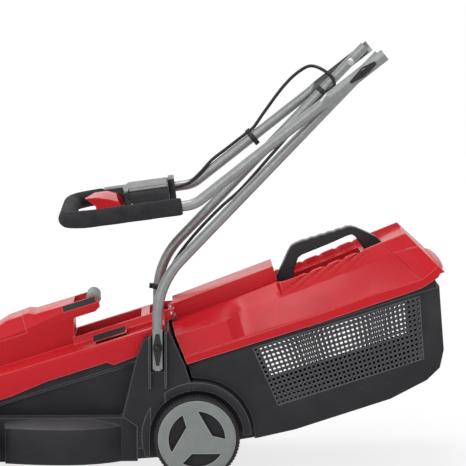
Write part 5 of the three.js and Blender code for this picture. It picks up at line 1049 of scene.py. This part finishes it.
class MOWER_OT_label_plate(MowerOperator):
    """Blank plate on a low wedge, on each side of the hood's shelf"""
    bl_idname = "mower.label_plate"
    bl_label = "Blank plates"

    def build(self, look):
        for side, sign in SIDES:
            for name, base, rise, finish, slot, bevel in (
                    ("plate_pad", PLATE_PAD, PLATE_PAD_RISE, "red", "red_plastic", 0.0),
                    ("blank_plate", PLATE, (0, 0, 0.8), "plate", "dark_grey_plastic", 0.2)):
                skin = np.stack([base, base + rise]) * (1, sign, 1)
                piece = surface(f"{name}_{side}", from_raked(skin), capped(2, 4))
                finished(piece, finish, "chassis", bevel=bevel)


# ------------------------------------------------------------------ switch box

# Outlines (x, y) in the grip's frame: the grey cover with its near lip, and the black body beside it.
SWITCH_COVER = [(-48, 62), (-48, 186), (-130, 186), (-139, 110), (-134, 20.5), (-127, 20.5), (-127, 62)]
SWITCH_BODY = [(-125.5, 20.5), (-48, 20.5), (-48, 60.5), (-125.5, 60.5)]
SWITCH_FOOT_Z = 17.0


def domed(name, outline, shoulder, top):
    """Outline drawn up from the foot to its shoulder, and on to the top drawn in by 5%."""
    edge = softened(outline, 3)
    rings = []
    for inset, height in ((0.0, SWITCH_FOOT_Z), (0.0, shoulder), (0.05, top)):
        ring = edge + (edge.mean(0) - edge) * inset
        rings.append(np.stack([ring[:, 0], ring[:, 1], np.full(len(ring), height)], -1))
    return surface(name, from_grip(np.stack(rings)), capped(len(rings), len(edge)), 25)


class MOWER_OT_switch_panel(MowerOperator):
    """Grey cover of the switch box and the black top of its body"""
    bl_idname = "mower.switch_panel"
    bl_label = "Switch cover"

    def build(self, look):
        cover = domed("switch_cover", SWITCH_COVER, 18.6, 20.6)
        finished(cover, "cover", "upper_handle", ["switch_panel"])
        finished(domed("switch_body_top", SWITCH_BODY, 18.0, 20.0), "black", "upper_handle")


# Stations y across the lever. Each has one point (x, z) of the tip, the top, the brow and the heel, and all
# share the foot, which leads round to the notch under the tip.
LEVER_STATIONS = [-10, 20, 60, 100, 142]
LEVER_TIP = [(-210, 20.5), (-212.5, 18), (-213.5, 14), (-213.5, 10), (-210, 6)]
LEVER_TOP = [(-190, 20.0), (-192, 22), (-194, 20.5), (-195, 18), (-192, 13)]
LEVER_BROW = [(-166, 13.5), (-169, 20), (-171, 20.5), (-172, 18), (-170, 13)]
LEVER_HEEL = [(-146, 5.5), (-149, 12), (-151, 13), (-152, 10.5), (-150, 6)]
LEVER_FOOT = [(-142, -6), (-142, -14.6), (-191.5, -14.6), (-192, 2), (-196, 7)]


def lever_skin():
    """Lever as rings of profiles, one for each station, joined straight from one to the next."""
    upper = zip(LEVER_TIP, LEVER_TOP, LEVER_BROW, LEVER_HEEL)
    ring = np.array([[*points, *LEVER_FOOT] for points in upper], float)
    y = np.broadcast_to(np.array(LEVER_STATIONS, float)[:, None], ring.shape[:2])
    return np.stack([ring[..., 0], y, ring[..., 1]], -1)


class MOWER_OT_switch_lever(MowerOperator):
    """Red switch lever: a hooked paddle under the grip"""
    bl_idname = "mower.switch_lever"
    bl_label = "Switch lever"

    def build(self, look):
        skin = lever_skin()
        piece = surface("switch_lever_paddle", from_grip(skin), capped(*skin.shape[:2]), 20)
        finished(piece, "red", "trigger", ["switch_lever"], bevel=1.4, sharp=22)


# ------------------------------------------------------------------ stage

CAMERA_PLACE = (-0.0518, -4.44107, 1.04666)     # metres
CAMERA_DOWN, CAMERA_TURN, CAMERA_LENS = 7.6, -1.7, 176.9
# Name, strength, angle across and turn in degrees: overhead, from the camera's left, and from behind.
SUNS = (("Key", 1.5, 25, (2, -12, 0)), ("Front", 1.05, 60, (66, 0, -22)), ("Rim", 0.4, 60, (-55, 0, 20)))
WHITE_SHARE = 0.78              # share of the floor's brightness that no shadow takes away


def looked_at(tree):
    """1 where the camera, a reflection or glass looks straight at the surface, by the larger of the
    light path's three answers."""
    path = add_node(tree, "ShaderNodeLightPath")
    seen = path.outputs["Is Camera Ray"]
    for other in ("Is Transmission Ray", "Is Glossy Ray"):
        seen = add_node(tree, "ShaderNodeMath", {"operation": "MAXIMUM"},
                        links={0: seen, 1: path.outputs[other]}).outputs[0]
    return seen


class MOWER_OT_stage(MowerOperator):
    """Pale floor, soft light and the camera"""
    bl_idname = "mower.stage"
    bl_label = "Stage"

    def build(self, look):
        scene = bpy.context.scene
        scene.view_settings.view_transform = "Standard"
        camera = bpy.data.objects.new("Camera", bpy.data.cameras.new("Camera"))
        camera.data.sensor_width = 36
        camera.data.lens = CAMERA_LENS
        camera.location = CAMERA_PLACE
        camera.rotation_euler = (radians(90 - CAMERA_DOWN), 0, radians(CAMERA_TURN))
        scene.collection.objects.link(camera)
        scene.camera = camera
        self.floor()
        self.world(scene)
        for name, energy, angle, turn in SUNS:
            lamp = bpy.data.lights.new(name, "SUN")
            lamp.energy = energy
            lamp.angle = radians(angle)
            light = bpy.data.objects.new(name, lamp)
            light.rotation_euler = [radians(degrees) for degrees in turn]
            scene.collection.objects.link(light)

    def floor(self):
        """A wide flat grid, seen as white by the camera but shaded by the object."""
        x, y = np.meshgrid(np.linspace(-6000, 6000, 13), np.linspace(-6000, 6000, 13), indexing="ij")
        floor = surface("floor", np.stack([x, y, np.zeros_like(x)], -1), grid_faces(13, 13, False, False))
        floor.data.materials.append(self.pale("Pale studio floor"))

    @staticmethod
    def pale(name):
        """Matt white floor with a faint cloud; the camera and reflections see it nearly white, with a
        soft share of the object's shadow left in it."""
        material = bpy.data.materials.new(name)
        material.use_nodes = True
        tree = material.node_tree
        shader = tree.nodes["Principled BSDF"]
        place = add_node(tree, "ShaderNodeTexCoord").outputs["Object"]
        cloud = add_node(tree, "ShaderNodeTexNoise", values={"Scale": per_mm(700)}, links={"Vector": place})
        tint = blended(tree, cloud.outputs["Fac"], "#f4f4f4", "#fafafa")
        tree.links.new(tint, shader.inputs["Base Color"])
        shader.inputs["Roughness"].default_value = 0.9
        shader.inputs["Specular IOR Level"].default_value = 0.1
        share = add_node(tree, "ShaderNodeMapRange", values={"To Max": WHITE_SHARE},
                         links={"Value": looked_at(tree)})
        white = add_node(tree, "ShaderNodeEmission", values={"Color": (1, 1, 1, 1), "Strength": 1.0})
        mix = add_node(tree, "ShaderNodeMixShader", links={0: share.outputs[0], 1: shader.outputs[0],
                                                           2: white.outputs[0]})
        tree.links.new(mix.outputs[0], tree.nodes["Material Output"].inputs["Surface"])
        return material

    @staticmethod
    def world(scene):
        """Even light on the object; white where the camera, reflections or glass look past it."""
        world = bpy.data.worlds.new("Studio")
        world.use_nodes = True
        scene.world = world
        tree = world.node_tree
        background = tree.nodes["Background"]
        background.inputs["Color"].default_value = (1, 1, 1, 1)
        level = add_node(tree, "ShaderNodeMapRange", values={"To Min": 0.5, "To Max": 1.0},
                         links={"Value": looked_at(tree)})
        tree.links.new(level.outputs[0], background.inputs["Strength"])


# ------------------------------------------------------------------ panel and run

OPERATORS = (
    MOWER_OT_stage, MOWER_OT_frame_nodes, MOWER_OT_lower_tubes, MOWER_OT_upper_tube, MOWER_OT_foam_grip,
    MOWER_OT_clamps, MOWER_OT_cables, MOWER_OT_wheels, MOWER_OT_grilles, MOWER_OT_catcher_lid,
    MOWER_OT_catcher_handle, MOWER_OT_carry_grip, MOWER_OT_label_plate, MOWER_OT_switch_panel,
    MOWER_OT_switch_lever,
)


class MOWER_PT_panel(bpy.types.Panel):
    """Lists the settings and the operators in the sidebar"""
    bl_idname = "MOWER_PT_panel"
    bl_label = "Push lawn mower"
    bl_space_type = "VIEW_3D"
    bl_region_type = "UI"
    bl_category = "Mower"

    def draw(self, context):
        for key in MowerLook.__annotations__:
            self.layout.prop(context.scene.mower_look, key)
        for operator in OPERATORS:
            self.layout.operator(operator.bl_idname)


def register():
    """Registers the settings, the operators and the panel."""
    for item in (MowerLook, *OPERATORS, MOWER_PT_panel):
        bpy.utils.register_class(item)
    bpy.types.Scene.mower_look = PointerProperty(type=MowerLook)


def unregister():
    """Undoes register."""
    del bpy.types.Scene.mower_look
    for item in (MOWER_PT_panel, *reversed(OPERATORS), MowerLook):
        bpy.utils.unregister_class(item)


def main():
    register()
    make_looks(settings())
    for operator in OPERATORS:
        group, call = operator.bl_idname.split(".")
        if getattr(getattr(bpy.ops, group), call)() != {"FINISHED"}:
            raise RuntimeError(f"{operator.bl_idname} did not finish")
    bpy.context.view_layer.update()


if __name__ == "__main__":
    main()
